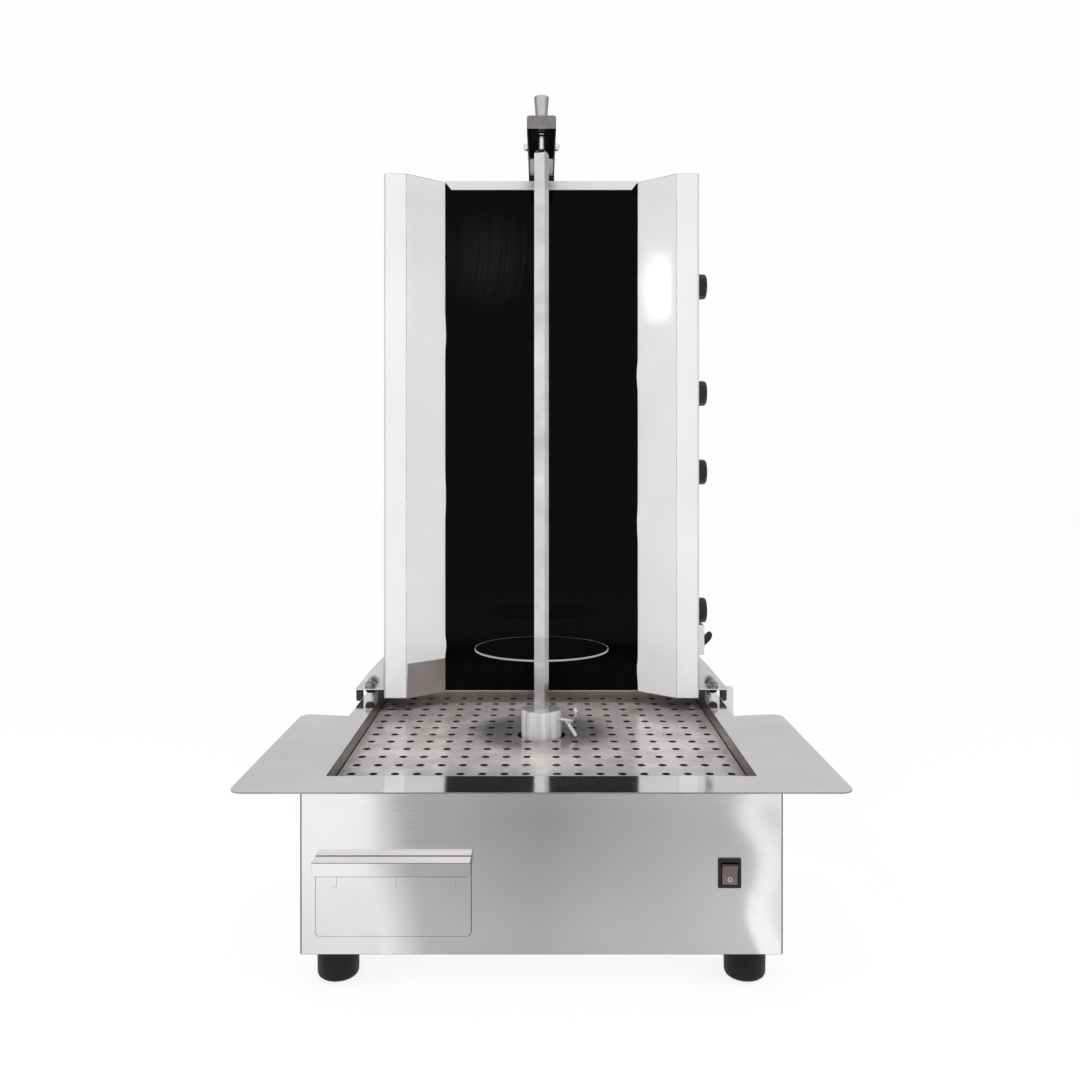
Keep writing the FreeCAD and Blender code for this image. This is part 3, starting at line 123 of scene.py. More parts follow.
def axes_of(tree, vector):
    """The X, Y and Z of a vector, as sockets."""
    return add_node(tree, "ShaderNodeSeparateXYZ", {"Vector": vector}).outputs


def distance(tree, place, x, y, z):
    """How far a place is from a point given in millimetres."""
    return add_node(tree, "ShaderNodeVectorMath", {0: place, 1: point(x, y, z)},
                    operation="DISTANCE").outputs["Value"]


def start_finish(name, metallic, roughness, **numbers):
    """A new material with its shader's fixed numbers, and the object's own coordinates."""
    material = bpy.data.materials.new(name)
    material.use_nodes = True
    tree = material.node_tree
    shader = tree.nodes["Principled BSDF"]
    shader.inputs["Metallic"].default_value = metallic
    shader.inputs["Roughness"].default_value = roughness
    for key, value in numbers.items():
        shader.inputs[key.replace("_", " ")].default_value = value
    place = add_node(tree, "ShaderNodeTexCoord").outputs["Object"]
    return material, tree, shader, place


def grain(tree, place, across, along=None, **noise):
    """Noise whose features are that many millimetres wide, or longer along one axis."""
    scale = [1 / (across * MM)] * 3
    if along:
        scale[along[0]] = 1 / (along[1] * MM)
    mapping = add_node(tree, "ShaderNodeMapping", {"Vector": place, "Scale": scale})
    return add_node(tree, "ShaderNodeTexNoise", {
        "Vector": mapping.outputs["Vector"], "Scale": 1.0, **noise}).outputs["Fac"]


def spread(tree, factor, low, high, start=0.3, end=0.7):
    """Stretch a noise, which runs from about 0.3 to 0.7, over a range of values."""
    return add_node(tree, "ShaderNodeMapRange", {
        "Value": factor, "From Min": start, "From Max": end, "To Min": low,
        "To Max": high}).outputs["Result"]


def blend_colours(tree, factor, dark, light, start=0.3, end=0.7):
    """Colours along a ramp from one hex value to another."""
    ramp = add_node(tree, "ShaderNodeValToRGB", {"Fac": factor})
    for element, where, colour in zip(ramp.color_ramp.elements, (start, end), (dark, light)):
        element.position = where
        element.color = linear(colour)
    return ramp.outputs["Color"]


def either(tree, chooser, first, second):
    """The first colour where the chooser is 0, the second where it is 1."""
    mix = add_node(tree, "ShaderNodeMix", {"Factor": chooser}, data_type="RGBA")
    for socket, colour in ((mix.inputs[6], first), (mix.inputs[7], second)):
        if isinstance(colour, bpy.types.NodeSocket):
            tree.links.new(colour, socket)
        else:
            socket.default_value = linear(colour)
    return mix.outputs[2]


def join(tree, shader, **sockets):
    for key, socket in sockets.items():
        tree.links.new(socket, shader.inputs[key.replace("_", " ")])


def relief(tree, shader, *layers):
    """Lift the surface by noises, each with its depth in millimetres and its strength."""
    normal = None
    for height, deep_mm, strength in layers:
        bump = add_node(tree, "ShaderNodeBump", {
            "Height": height, "Distance": deep_mm * MM, "Strength": strength})
        if normal:
            tree.links.new(normal, bump.inputs["Normal"])
        normal = bump.outputs["Normal"]
    tree.links.new(normal, shader.inputs["Normal"])


# %% [markdown]
# Most of the grill is austenitic stainless sheet, rolled and then brushed with a belt. The
# belt leaves fine parallel scratches, so a reflection is smeared across them, and the thin
# sheet is never quite flat, so reflections also bend slowly over a hand's width. The real
# scratches are about 0.05 mm apart; they are drawn 1.5 mm apart, or they would not show.
# On the front sheet, bends and cut edges are painted dark: a painted shade for the thin
# dark line that a rounded edge shows.

# %% Brushed stainless
def facing(tree):
    """How much a face looks along each of the three axes, from 0 to 1."""
    sides = axes_of(tree, add_node(tree, "ShaderNodeNewGeometry").outputs["True Normal"])
    return [maths(tree, "ABSOLUTE", sides[axis]) for axis in "XYZ"]


def bends(tree):
    """1 on bends and deburred edges, whose faces are 14 degrees or more off every axis."""
    return maths(tree, "LESS_THAN", chained(tree, "MAXIMUM", *facing(tree)), 0.97)


def brushed_stainless(name, light, dark, grain_axis, roughness, wave_mm=0.25, bend=None):
    material, tree, shader, place = start_finish(name, 1.0, sum(roughness) / 2)
    scratches = grain(tree, place, 1.5, (grain_axis, 140), Detail=3.0)
    clouds = grain(tree, place, 90, Detail=2.0)
    waves = grain(tree, place, 170, Detail=0.0)
    colour = blend_colours(tree, clouds, dark, light)
    # the bend colour is a painted shade along bends and cut edges
    if bend:
        colour = either(tree, bends(tree), colour, bend)
    join(tree, shader, Base_Color=colour, Roughness=spread(tree, scratches, *roughness))
    relief(tree, shader, (scratches, 0.01, 0.06), (waves, wave_mm, 1.0))
    return material


# the front's last colour, #6a6260, is the painted edge shade
steel_front = brushed_stainless("stainless_brushed_level_grain_painted_edge_shade", "#efedee", "#e9e7e8", X,
                                (0.11, 0.15), 0.35, "#6a6260")
steel_sheet = brushed_stainless("stainless_brushed_plain", "#e6e4e5", "#dcdadb", X,
                                (0.22, 0.32))
steel_side = brushed_stainless("stainless_brushed_lengthwise_grain", "#e2e0e1", "#d8d6d7", Y,
                               (0.2, 0.28))
steel_back = brushed_stainless("stainless_brushed_upright_grain", "#dddbdc", "#d3d1d2", Z,
                               (0.24, 0.34))

# %% [markdown]
# The catch pan is bright-rolled sheet: nearly a mirror, with the slow waves of a panel that
# was drawn and folded. Its upright walls and cut edges are painted a dull, dark reddish
# grey: a painted shade for the dark those faces show. The sheet's own direction, and not the
# view, tells which faces those are.

# %% Bright stainless with painted shade on its walls
def upright_faces(tree):
    """1 on the faces that stand upright, 0 on those that lie flat."""
    return maths(tree, "LESS_THAN", facing(tree)[Z], 0.5)


steel_pan, tree, shader, place = start_finish("stainless_bright_rolled_painted_wall_shade", 0.97, 0.1)
clouds = grain(tree, place, 90, Detail=3.0)
tint = grain(tree, place, 25, Detail=3.0)
upright = upright_faces(tree)
bright = blend_colours(tree, clouds, "#dedcdd", "#eae8e9")
painted_wall_shade = blend_colours(tree, tint, "#938681", "#a99a95")
# upright faces take the painted wall shade in place of the bright colour
join(tree, shader, Base_Color=either(tree, upright, bright, painted_wall_shade),
     Roughness=maths(tree, "MULTIPLY_ADD", upright, 0.2, spread(tree, clouds, 0.07, 0.12)))
relief(tree, shader, (grain(tree, place, 120, Detail=0.0), 0.12, 1.0))

# %% [markdown]
# Turned pieces such as the collar are polished on the lathe, and the skewer is drawn bar.
# Both are bright, with a little cloudiness where hands and cloths have been. The lathe's
# fine rings spread a reflection along the axis, which is what anisotropy is for. The
# collar's colour is painted in streaks from top to bottom, pale to white: a painted
# reflection of the bright and dark around it.

# %% Turned and drawn stainless
def bright_stainless(name, light, dark, roughness, cloud_mm=60, lathe_mm=0, painted_streak_mm=0,
                     metallic=1.0):
    material, tree, shader, place = start_finish(name, metallic, roughness[0])
    # a streak length stretches the clouds upright into painted reflection streaks
    clouds = grain(tree, place, cloud_mm, (Z, painted_streak_mm or cloud_mm), Detail=3.0)
    join(tree, shader, Base_Color=blend_colours(tree, clouds, dark, light),
         Roughness=spread(tree, clouds, *roughness))
    if lathe_mm:
        shader.inputs["Anisotropic"].default_value = 0.85
        shader.inputs["Anisotropic Rotation"].default_value = 0.25
        around = add_node(tree, "ShaderNodeTangent", axis="Z", direction_type="RADIAL")
        join(tree, shader, Tangent=around.outputs[0])
        relief(tree, shader, (grain(tree, place, 400, (Z, lathe_mm), Detail=2.0), 0.01, 0.5))
    return material


steel_turned = bright_stainless("stainless_turned_polished", "#e9e8e9", "#dddbdc",
                                (0.08, 0.13), 30)
# the collar: streaks painted pale to white stand in for reflections
steel_lathe = bright_stainless("stainless_turned_fine_lines_painted_streaks", "#ffffff", "#cdcac9",
                               (0.26, 0.38), 9, 0.7, 160, 0.4)
steel_grip = bright_stainless("stainless_turned_satin", "#cfcdcd", "#bdbbbb", (0.22, 0.28),
                              60, 0.5)
steel_wing = bright_stainless("stainless_cold_rolled", "#b5adab", "#a39b99", (0.24, 0.3), 80)
steel_bar = bright_stainless("stainless_drawn_bar", "#e4e2e3", "#c5c3c3", (0.16, 0.26), 45)

# the disc is polished, but its rim is dull where it was sheared and dressed
DISC_LEVEL, DISC_RIM = 326, 86.8
steel_disc, tree, shader, place = start_finish("stainless_disc_polished", 1.0, 0.06)
rim = maths(tree, "GREATER_THAN", distance(tree, place, 0, SPINDLE_Y, DISC_LEVEL),
            DISC_RIM * MM)
clouds = grain(tree, place, 70, Detail=3.0)
bright = blend_colours(tree, clouds, "#cfcdce", "#d9d7d8")
join(tree, shader, Base_Color=either(tree, rim, bright, "#b4b2b3"),
     Roughness=maths(tree, "MULTIPLY_ADD", rim, 0.55, spread(tree, clouds, 0.04, 0.07)),
     Metallic=maths(tree, "MULTIPLY_ADD", rim, -0.3, 1.0))

# %% [markdown]
# The pierced plate is the same sheet, but washed and scoured for years of service: its
# mirror has gone cloudy, so what it reflects keeps its place but loses its edges. Most of
# the light scatters, which is why its metallic value is well under one.

# %% Scoured stainless
steel_plate, tree, shader, place = start_finish("stainless_scoured_painted_hole_shade", 0.34, 0.26)
clouds = grain(tree, place, 42, Detail=4.0, Roughness=0.6)
bright = blend_colours(tree, clouds, "#969290", "#bab7b6", 0.32, 0.66)
# upright faces, the hole walls and the skirt, are painted near black: a painted shade in the
# holes and under the plate
join(tree, shader, Base_Color=either(tree, upright_faces(tree), bright, "#3a3433"),
     Roughness=spread(tree, clouds, 0.3, 0.14))
relief(tree, shader, (grain(tree, place, 65, Detail=1.0), 0.1, 1.0))

# %% [markdown]
# Sheet stainless is sold under a white polyethylene film that keeps it clean while it is
# cut and folded. On this grill the film is still on the wings. It is soft plastic with a
# faint orange-peel, a broad highlight and no metal in it.

# %% Protective film
film_white, tree, shader, place = start_finish(
    "polyethylene_film_calendered", 0.0, 0.1, IOR=1.51)
clouds = grain(tree, place, 120, Detail=2.0)
join(tree, shader, Base_Color=blend_colours(tree, clouds, "#e6e6e8", "#ececee"))
relief(tree, shader, (grain(tree, place, 6, Detail=2.0), 0.015, 0.5),
       (grain(tree, place, 60, (Z, 160), Detail=1.0), 0.25, 1.0))

# %% [markdown]
# Ceramic glass is black all the way through to the eye and polished by fire. Only dust and
# the arcs left by a wiping cloth show on it, as a slightly paler and duller patch.

# %% Ceramic glass
glass_black, tree, shader, place = start_finish(
    "ceramic_glass_fire_polished", 0.0, 0.06, IOR=1.5, Specular_IOR_Level=0.04)
elbow = distance(tree, place, -350, 0, 900)
streaks = add_node(tree, "ShaderNodeTexNoise", {
    "W": maths(tree, "MULTIPLY", elbow, 1 / (5 * MM)), "Scale": 1.0, "Detail": 3.0},
    noise_dimensions="1D").outputs["Fac"]
patch = spread(tree, distance(tree, place, -80, GLASS_FRONT, 872), 1, 0, 0.02, 0.09)
dust = spread(tree, grain(tree, place, 190, Detail=1.0), 0, 0.12, 0.45, 0.65)
wipes = maths(tree, "MULTIPLY", streaks, maths(tree, "MAXIMUM", patch, dust))
join(tree, shader, Base_Color=blend_colours(tree, wipes, "#050505", "#1c1b1a", 0.1, 0.7),
     Roughness=spread(tree, wipes, 0.05, 0.13, 0.1, 0.6))

# %% [markdown]
# The rest are everyday finishes, each with the speckle or mottle of how it was made:
# moulded rubber and plastics, zinc-plated fasteners, cast aluminium, stove enamel on the
# motor, pressed mineral board, fired clay, blasted steel and printed marks. One function
# serves them, because they differ only in colour, gloss, and how coarse and deep they are.

# %% Plain finishes
def mottled(name, light, dark, metallic, roughness, size_mm, deep_mm, **numbers):
    material, tree, shader, place = start_finish(name, metallic, sum(roughness) / 2, **numbers)
    speckle = grain(tree, place, size_mm, Detail=3.0)
    join(tree, shader, Base_Color=blend_colours(tree, speckle, dark, light, 0.35, 0.65),
         Roughness=spread(tree, speckle, *roughness))
    relief(tree, shader, (speckle, deep_mm, 0.6))
    return material


rubber_black = mottled("rubber_moulded", "#161617", "#0f0f10", 0.0, (0.45, 0.6), 3, 0.05,
                       Specular_IOR_Level=0.22)
plastic_black = mottled("phenolic_moulded", "#151516", "#0e0e0f", 0.0, (0.28, 0.36), 2, 0.02,
                        Specular_IOR_Level=0.36)
plastic_bezel = mottled("nylon_moulded_black", "#1c1c1d", "#131314", 0.0, (0.3, 0.42), 2, 0.02,
                        Specular_IOR_Level=0.36)
plastic_rocker = mottled("nylon_moulded_umber", "#6b5d59", "#625551", 0.0, (0.3, 0.4), 4, 0.01)
nylon_shoe = mottled("nylon_machined_black", "#232122", "#181617", 0.0, (0.35, 0.5), 3, 0.03)
zinc_plate = mottled("steel_zinc_plated", "#a3a2a0", "#7d7b79", 1.0, (0.2, 0.32), 3, 0.01)
aluminium_cast = mottled("aluminium_sand_cast", "#a9a9a8", "#8b8b8a", 0.9, (0.42, 0.6), 1.5, 0.08)
enamel_motor = mottled("enamel_stoved_grey", "#5d6266", "#53585c", 0.0, (0.3, 0.42), 2, 0.02)
board_mineral = mottled("mineral_board_pressed", "#d8d1bf", "#bfb7a4", 0.0, (0.8, 0.95), 4, 0.3)
clay_fired = mottled("cordierite_fired", "#cfc6b4", "#b5ab98", 0.0, (0.7, 0.85), 2, 0.1)
plastic_block = mottled("polyamide_moulded_natural", "#e2ddd0", "#d3cdbe", 0.0, (0.4, 0.5), 3,
                        0.02)
steel_blasted = mottled("steel_bead_blasted", "#eceae9", "#e0dedd", 0.35, (0.45, 0.55), 2, 0.01)
paint_white = mottled("paint_pad_printed", "#e9e8e6", "#dddcda", 0.0, (0.4, 0.5), 1, 0.002)

# %% [markdown]
# The channel over the skewer is grey brushed steel outside. Inside it the same finish is
# painted black where a point lies within its walls: a painted shade for the dark hollow.

# %% Channel with painted shade inside
steel_arm, tree, shader, place = start_finish("steel_brushed_painted_shade_inside", 1.0, 0.33)
speckle = grain(tree, place, 8, (Y, 60), Detail=3.0)
where = axes_of(tree, place)
inner_half, inner_top, inner_front = 17.1 * MM, (ARM_TOP - 1.9) * MM, -34.1 * MM
across = maths(tree, "LESS_THAN", maths(tree, "ABSOLUTE", where["X"]), inner_half)
under = maths(tree, "LESS_THAN", where["Z"], inner_top)
behind = maths(tree, "GREATER_THAN", where["Y"], inner_front)
inside = chained(tree, "MULTIPLY", across, under, behind)
outside = blend_colours(tree, speckle, "#7f7b79", "#8c8887", 0.35, 0.65)
# within the walls the colour is #131212, a painted shade
join(tree, shader, Base_Color=either(tree, inside, outside, "#131212"),
     Roughness=maths(tree, "MULTIPLY_ADD", inside, 0.3, spread(tree, speckle, 0.28, 0.38)))

# %% [markdown]
# Each node of the solid model takes the finish of the real piece. The table says which
# pieces share one, from the base up to the arm.

# %% Finish each node
FINISHES = {
    steel_front: ("base_shell", "drawer_front", "drawer_handle"),
    steel_sheet: ("base_floor", "motor_bridge", "roof", "tower_floor", "latch_box",
                  "clamp_plate", "top_trim"),
    steel_side: ("drawer_tray", "drawer_runners", "carriage_left", "carriage_right"),
    steel_back: ("rear_cover", "side_panel_left", "side_panel_right", "tower_back"),
    steel_wing: ("wing_left", "wing_right"),
    steel_blasted: ("arm_guide",),
    steel_pan: ("catch_pan",),
    steel_disc: ("meat_disc",),
    steel_plate: ("perforated_plate",),
    steel_turned: ("drive_collar", "output_shaft", "pull_knob", "plunger_pin", "disc_pin",
                   "plunger_bush", "wing_screw"),
    steel_bar: ("skewer",),
    steel_arm: ("arm_channel",),
    rubber_black: ("feet", "arm_pads", "carriage_buffers"),
    plastic_black: ("knob_1", "knob_2", "knob_3", "knob_4", "latch_lever", "cable_gland"),
    plastic_bezel: ("switch_housing",),
    plastic_rocker: ("rocker",),
    nylon_shoe: ("glide_shoes", "guide_hooks"),
    zinc_plate: ("carriage_nuts", "cross_bolt", "arm_clamp", "plunger_spring"),
    glass_black: ("ceramic_glass",),
    aluminium_cast: ("gearbox",),
    enamel_motor: ("motor",),
    board_mineral: ("insulation_board",),
    clay_fired: ("heater_1", "heater_2", "heater_3", "heater_4"),
    plastic_block: ("terminal_block", "regulators"),
}
for material, names in FINISHES.items():
    for name in names:
        slots = nodes[name].material_slots
        for slot in slots:
            slot.material = material
        if not slots:
            nodes[name].data.materials.append(material)
finished = {name for names in FINISHES.values() for name in names}
print("without a finish:", sorted(set(nodes) - finished))

# %% [markdown]
# Folded sheet has no knife edges: the bend is round, and the cut edge is deburred. A bevel
# modifier softens the model's corners without touching its mesh, and each soft corner
# catches a thin line of light that shows where one sheet ends and the next begins.

# %% Soften the sheet edges
def modify(piece, name, kind, **settings):
    modifier = piece.modifiers.new(name, kind)
    for key, value in settings.items():
        setattr(modifier, key, value)


SOFT_EDGES = {"drawer_front": 0.7, "drawer_handle": 0.6, "base_shell": 0.6,
              "carriage_left": 0.4, "carriage_right": 0.4, "clamp_plate": 0.4,
              "latch_box": 0.5, "glide_shoes": 0.8, "guide_hooks": 0.6, "arm_guide": 0.5,
              "top_trim": 0.4}
for name, width_mm in SOFT_EDGES.items():
    modify(nodes[name], "corners_joined", "WELD", merge_threshold=0.01 * MM)
    modify(nodes[name], "deburred", "BEVEL", width=width_mm * MM, segments=2,
           limit_method="ANGLE", angle_limit=math.radians(35), harden_normals=True,
           use_clamp_overlap=False)

# %% [markdown]
# The finer pieces are meshes of their own. Each takes a finish, rides on the body that
# carries the real piece, and may stand for a node of the solid model, which is then
# hidden. One function does all of that.

# %% Add a piece
def put(name, data):
    """A new object in the scene."""
    thing = bpy.data.objects.new(name, data)
    bpy.context.scene.collection.objects.link(thing)
    return thing


def add_piece(name, mesh, material, body, slot, *stands_for, where=None, angle=32):
    mesh.name = name
    piece = put(name, mesh)
    if where is not None:
        mesh.transform(where)
    if not mesh.materials:
        mesh.materials.append(material)
    mesh.polygons.foreach_set("use_smooth", [True] * len(mesh.polygons))
    mesh.set_sharp_from_angle(angle=math.radians(angle))
    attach(piece, body)
    if stands_for:
        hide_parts(*stands_for)
    return piece


def new_mesh(vertices, faces):
    """A mesh from corners in millimetres, with its faces turned outwards."""
    mesh = bpy.data.meshes.new("mesh")
    mesh.from_pydata([point(*vertex) for vertex in vertices], [], faces)
    work = bmesh.new()
    work.from_mesh(mesh)
    bmesh.ops.remove_doubles(work, verts=work.verts, dist=0.00001)
    bmesh.ops.recalc_face_normals(work, faces=work.faces)
    work.to_mesh(mesh)
    work.free()
    return mesh


def merged(parts):
    """Several meshes in one, each with its place."""
    work = bmesh.new()
    for mesh, where in parts:
        copy = mesh.copy()
        copy.transform(where)
        work.from_mesh(copy)
        bpy.data.meshes.remove(copy)
    whole = bpy.data.meshes.new("merged")
    work.to_mesh(whole)
    work.free()
    return whole


def baked(blank):
    """The mesh that an object comes to with its modifiers; the object itself goes."""
    bpy.context.view_layer.update()
    graph = bpy.context.evaluated_depsgraph_get()
    mesh = bpy.data.meshes.new_from_object(blank.evaluated_get(graph))
    bpy.data.objects.remove(blank)
    return mesh


def worked(mesh, *steps):
    """A mesh after modifiers, each given as its kind and its settings."""
    blank = put("blank", mesh)
    for kind, settings in steps:
        modify(blank, kind.lower(), kind, **settings)
    return baked(blank)


def thicken(thick_mm):
    return "SOLIDIFY", {"thickness": thick_mm * MM, "offset": 0.0}


def round_off(width_mm, degrees):
    return "BEVEL", {"width": width_mm * MM, "segments": 2, "limit_method": "ANGLE",
                     "angle_limit": math.radians(degrees)}


def cut_with(mesh, *cutters, operation="DIFFERENCE"):
    """A mesh less the room of the cutters, or only what they share with it."""
    helpers = [put("cutter", cutter) for cutter in cutters]
    steps = [("BOOLEAN", {"object": helper, "operation": operation, "solver": "EXACT"})
             for helper in helpers]
    result = worked(mesh, *steps)
    for helper in helpers:
        bpy.data.objects.remove(helper)
    return result


# %% [markdown]
# Many pieces are turned on a lathe, so they are a half section spun about an axis. Others
# are sawn or punched from a section of constant shape, with a bevelled rim. These two
# shapes, and a bent strip, are most of what a machine like this is made of.

# %% Turned, sawn and bent shapes
def ring_of(count, radius):
    return [(radius * math.cos(2 * math.pi * i / count),
             radius * math.sin(2 * math.pi * i / count)) for i in range(count)]


def oblong(left, right, front, back):
    return [(left, front), (right, front), (right, back), (left, back)]


def bands(rings, steps):
    """Faces between closed rings of points, one ring after another."""
    faces = []
    for ring in range(rings - 1):
        for i in range(steps):
            a, b = ring * steps + i, ring * steps + (i + 1) % steps
            faces.append((a, b, b + steps, a + steps))
    return faces


def sheet_of(rows, columns):
    """Faces between rows of points that are open at both ends."""
    return [(a, a + 1, a + columns + 1, a + columns) for row in range(rows - 1)
            for a in range(row * columns, (row + 1) * columns - 1)]


def turned(section, steps=64):
    """Spin pairs of radius and height about the Z axis."""
    vertices = [(x, y, height) for radius, height in section for x, y in ring_of(steps, radius)]
    faces = bands(len(section), steps)
    for ring in (0, len(section) - 1):
        if section[ring][0] > 0:
            faces.append([ring * steps + i for i in range(steps)])
    return new_mesh(vertices, faces)


def sawn(outline, low, high, bevel_mm=0.0):
    """Lift an outline of x and y from one height to another."""
    count = len(outline)
    vertices = [(x, y, z) for z in (low, high) for x, y in outline]
    faces = [list(range(count)), list(range(count, 2 * count))]
    faces += [(i, (i + 1) % count, count + (i + 1) % count, count + i) for i in range(count)]
    mesh = new_mesh(vertices, faces)
    return worked(mesh, round_off(bevel_mm, 40)) if bevel_mm else mesh


def quarters(starts, ends):
    """Two points on each stretch, a quarter of it in from either end."""
    cut = []
    for (ax, ay), (bx, by) in zip(starts, ends):
        cut += [(ax * 0.75 + bx * 0.25, ay * 0.75 + by * 0.25),
                (ax * 0.25 + bx * 0.75, ay * 0.25 + by * 0.75)]
    return cut


# %% [markdown]
# Four rubber feet carry the grill. Each is moulded with a rounded sole and a slight
# draft so that it leaves its mould, and it grips a steel washer above.

# %% Feet
foot = turned([(0, 0), (17.6, 0), (19.8, 0.7), (21.6, 2.2), (22.6, 4.4), (22.9, 7),
               (23.2, 38), (22.8, 39.4), (21.8, 40), (0, 40)], 72)
FOOT_OUT, FOOT_ROWS = 226, (-220, 260)
add_piece("rubber_feet", merged([
    (foot, at(FOOT_OUT * side, y, 0)) for side in (-1, 1) for y in FOOT_ROWS]),
    rubber_black, "base", "black_rubber", "feet")

# %% [markdown]
# The pierced plate is punched from sheet: eighteen columns and thirteen rows of 9.8 mm
# holes, and a large eye for the drive. A flat curve with a hole for each punch is filled
# by Blender itself, which is simpler than cutting 230 holes one at a time.

# %% Perforated plate
PLATE_HALF, PLATE_FRONT, PLATE_BACK = 232.5, -251, 204
PLATE_TOP, PLATE_LOW, PLATE_THICK = 212.5, 195.5, 1.5
HOLE_ROUND, EYE_ROUND = 4.9, 31.35
COLUMNS, FIRST_COLUMN, COLUMN_STEP = 9, 17.7, 25
ROWS, FIRST_ROW, ROW_STEP = 13, -222.5, 34.5


def add_loop(curve, corners):
    spline = curve.splines.new("POLY")
    spline.points.add(len(corners) - 1)
    for spot, (x, y) in zip(spline.points, corners):
        spot.co = (x * MM, y * MM, 0, 1)
    spline.use_cyclic_u = True


def plate_sheet():
    curve = bpy.data.curves.new("plate", "CURVE")
    curve.dimensions = "2D"
    curve.fill_mode = "BOTH"
    curve.extrude = PLATE_THICK / 2 * MM
    add_loop(curve, oblong(-PLATE_HALF, PLATE_HALF, PLATE_FRONT, PLATE_BACK))
    add_loop(curve, [(x, y + SPINDLE_Y) for x, y in ring_of(64, EYE_ROUND)])
    count = 0
    for side in (-1, 1):
        for column in range(COLUMNS):
            for row in range(ROWS):
                x = (FIRST_COLUMN + COLUMN_STEP * column) * side
                y = FIRST_ROW + ROW_STEP * row
                if math.hypot(x, y - SPINDLE_Y) > EYE_ROUND:
                    add_loop(curve, [(x + dx, y + dy) for dx, dy in ring_of(18, HOLE_ROUND)])
                    count += 1
    print("plate:", count, "holes")
    return baked(put("blank", curve))


def plate_skirt():
    vertices = [(x, y, z) for inset in (0, PLATE_THICK)
                for z in (PLATE_LOW, PLATE_TOP - PLATE_THICK)
                for x, y in oblong(inset - PLATE_HALF, PLATE_HALF - inset,
                                   PLATE_FRONT + inset, PLATE_BACK - inset)]
    faces = []
    for i in range(4):
        j = (i + 1) % 4
        faces += [(i, j, 4 + j, 4 + i), (8 + i, 8 + j, 12 + j, 12 + i), (i, j, 8 + j, 8 + i),
                  (4 + i, 4 + j, 12 + j, 12 + i)]
    return new_mesh(vertices, faces)


add_piece("pierced_plate", merged([
    (plate_sheet(), at(0, 0, PLATE_TOP - PLATE_THICK / 2)), (plate_skirt(), at(0, 0, 0))]),
    steel_plate, "base", "polished_stainless", "perforated_plate", angle=20)

# %% [markdown]
# The drive collar is turned from bar: a bevelled top, a square socket for the skewer and
# a tapped hole for the clamping screw. The socket and the hole are cut out with a boolean.

# %% Drive collar
COLLAR_LOW, COLLAR_TOP, COLLAR_ROUND = 199, 247, 26.4
SOCKET_HALF, SCREW_LEVEL = 7.45, 235
socket = sawn(oblong(-SOCKET_HALF, SOCKET_HALF, -SOCKET_HALF, SOCKET_HALF), 212, 250)
tapping = turned([(3.08, 5), (3.08, 30)], 24)
tapping.transform(at(0, 0, SCREW_LEVEL) @ SIDEWAYS)
collar_blank = turned([
    (9, 208), (18, 208), (18, COLLAR_LOW), (25.9, COLLAR_LOW), (COLLAR_ROUND, 199.5),
    (COLLAR_ROUND, COLLAR_TOP - 2.1), (COLLAR_ROUND - 0.5, COLLAR_TOP - 1.1),
    (COLLAR_ROUND - 2.1, COLLAR_TOP), (0, COLLAR_TOP), (0, 212), (9, 212), (9, 208)], 96)
add_piece("collar_turned", cut_with(collar_blank, socket, tapping), steel_lathe, "spindle",
          "polished_stainless", "drive_collar", where=at(0, SPINDLE_Y, 0, SKEWER_TURN), angle=25)

# %% [markdown]
# The clamping screw has a threaded shank and two ears bent from strip: one leans down and
# out, the other curls up at the end of the shank. A strip is a line of points with a width
# that narrows at its tip, given its thickness by a solidify modifier.

# %% Butterfly screw
EAR_WIDE, EAR_THICK = 9, 1.8


def ear(path):
    """A bent strip along points of x and z, rounded at its last end."""
    for _ in range(2):
        path = [path[0]] + quarters(path, path[1:]) + [path[-1]]
    vertices = []
    for i, (x, z) in enumerate(path):
        share = i / (len(path) - 1)
        half = EAR_WIDE / 2 * (0.62 + 0.38 * math.sin(math.pi * min(1, share * 1.25) / 2))
        if share > 0.8:
            half *= math.sqrt(max(0.02, 1 - ((share - 0.8) / 0.2) ** 2))
        vertices += [(x, half * across, z) for across in (-1, -0.5, 0, 0.5, 1)]
    return worked(new_mesh(vertices, sheet_of(len(path), 5)), thicken(EAR_THICK),
                  round_off(EAR_THICK * 0.3, 50))


def threaded(radius, low, high, pitch=1.25):
    """A shank whose fine ridges stand for its thread."""
    section = [(0, low), (radius - 0.5, low)]
    height = low
    while height + pitch < high:
        section += [(radius, height + pitch * 0.35), (radius, height + pitch * 0.55),
                    (radius - 0.35, height + pitch * 0.9)]
        height += pitch
    return turned(section + [(radius - 0.5, high), (0, high)], 20)


shank = threaded(3, 8, 44, 1.5)
shank.transform(SIDEWAYS)
ear_low = ear([(35.4, -1), (41.5, -10), (48.3, -19.6)])
ear_top = ear([(42.5, 0), (47.2, 3.2), (49.2, 9.9), (47.8, 13.6), (45.6, 16.4)])
add_piece("butterfly_screw", merged([
    (part, at(0, 0, 0)) for part in (shank, ear_low, ear_top)]), steel_turned, "wing_screw",
    "polished_stainless", "wing_screw", where=at(0, SPINDLE_Y, SCREW_LEVEL, SKEWER_TURN))

# %% [markdown]
# The wings are folded from film-covered sheet. The film is its own thin skin over the flat
# and the slope, with a torn edge that hangs a little over the glass and, on the left, stops
# short of the bottom. Rows of points follow the fold and are nudged by a tenth or so, which
# is all the unevenness that film has.

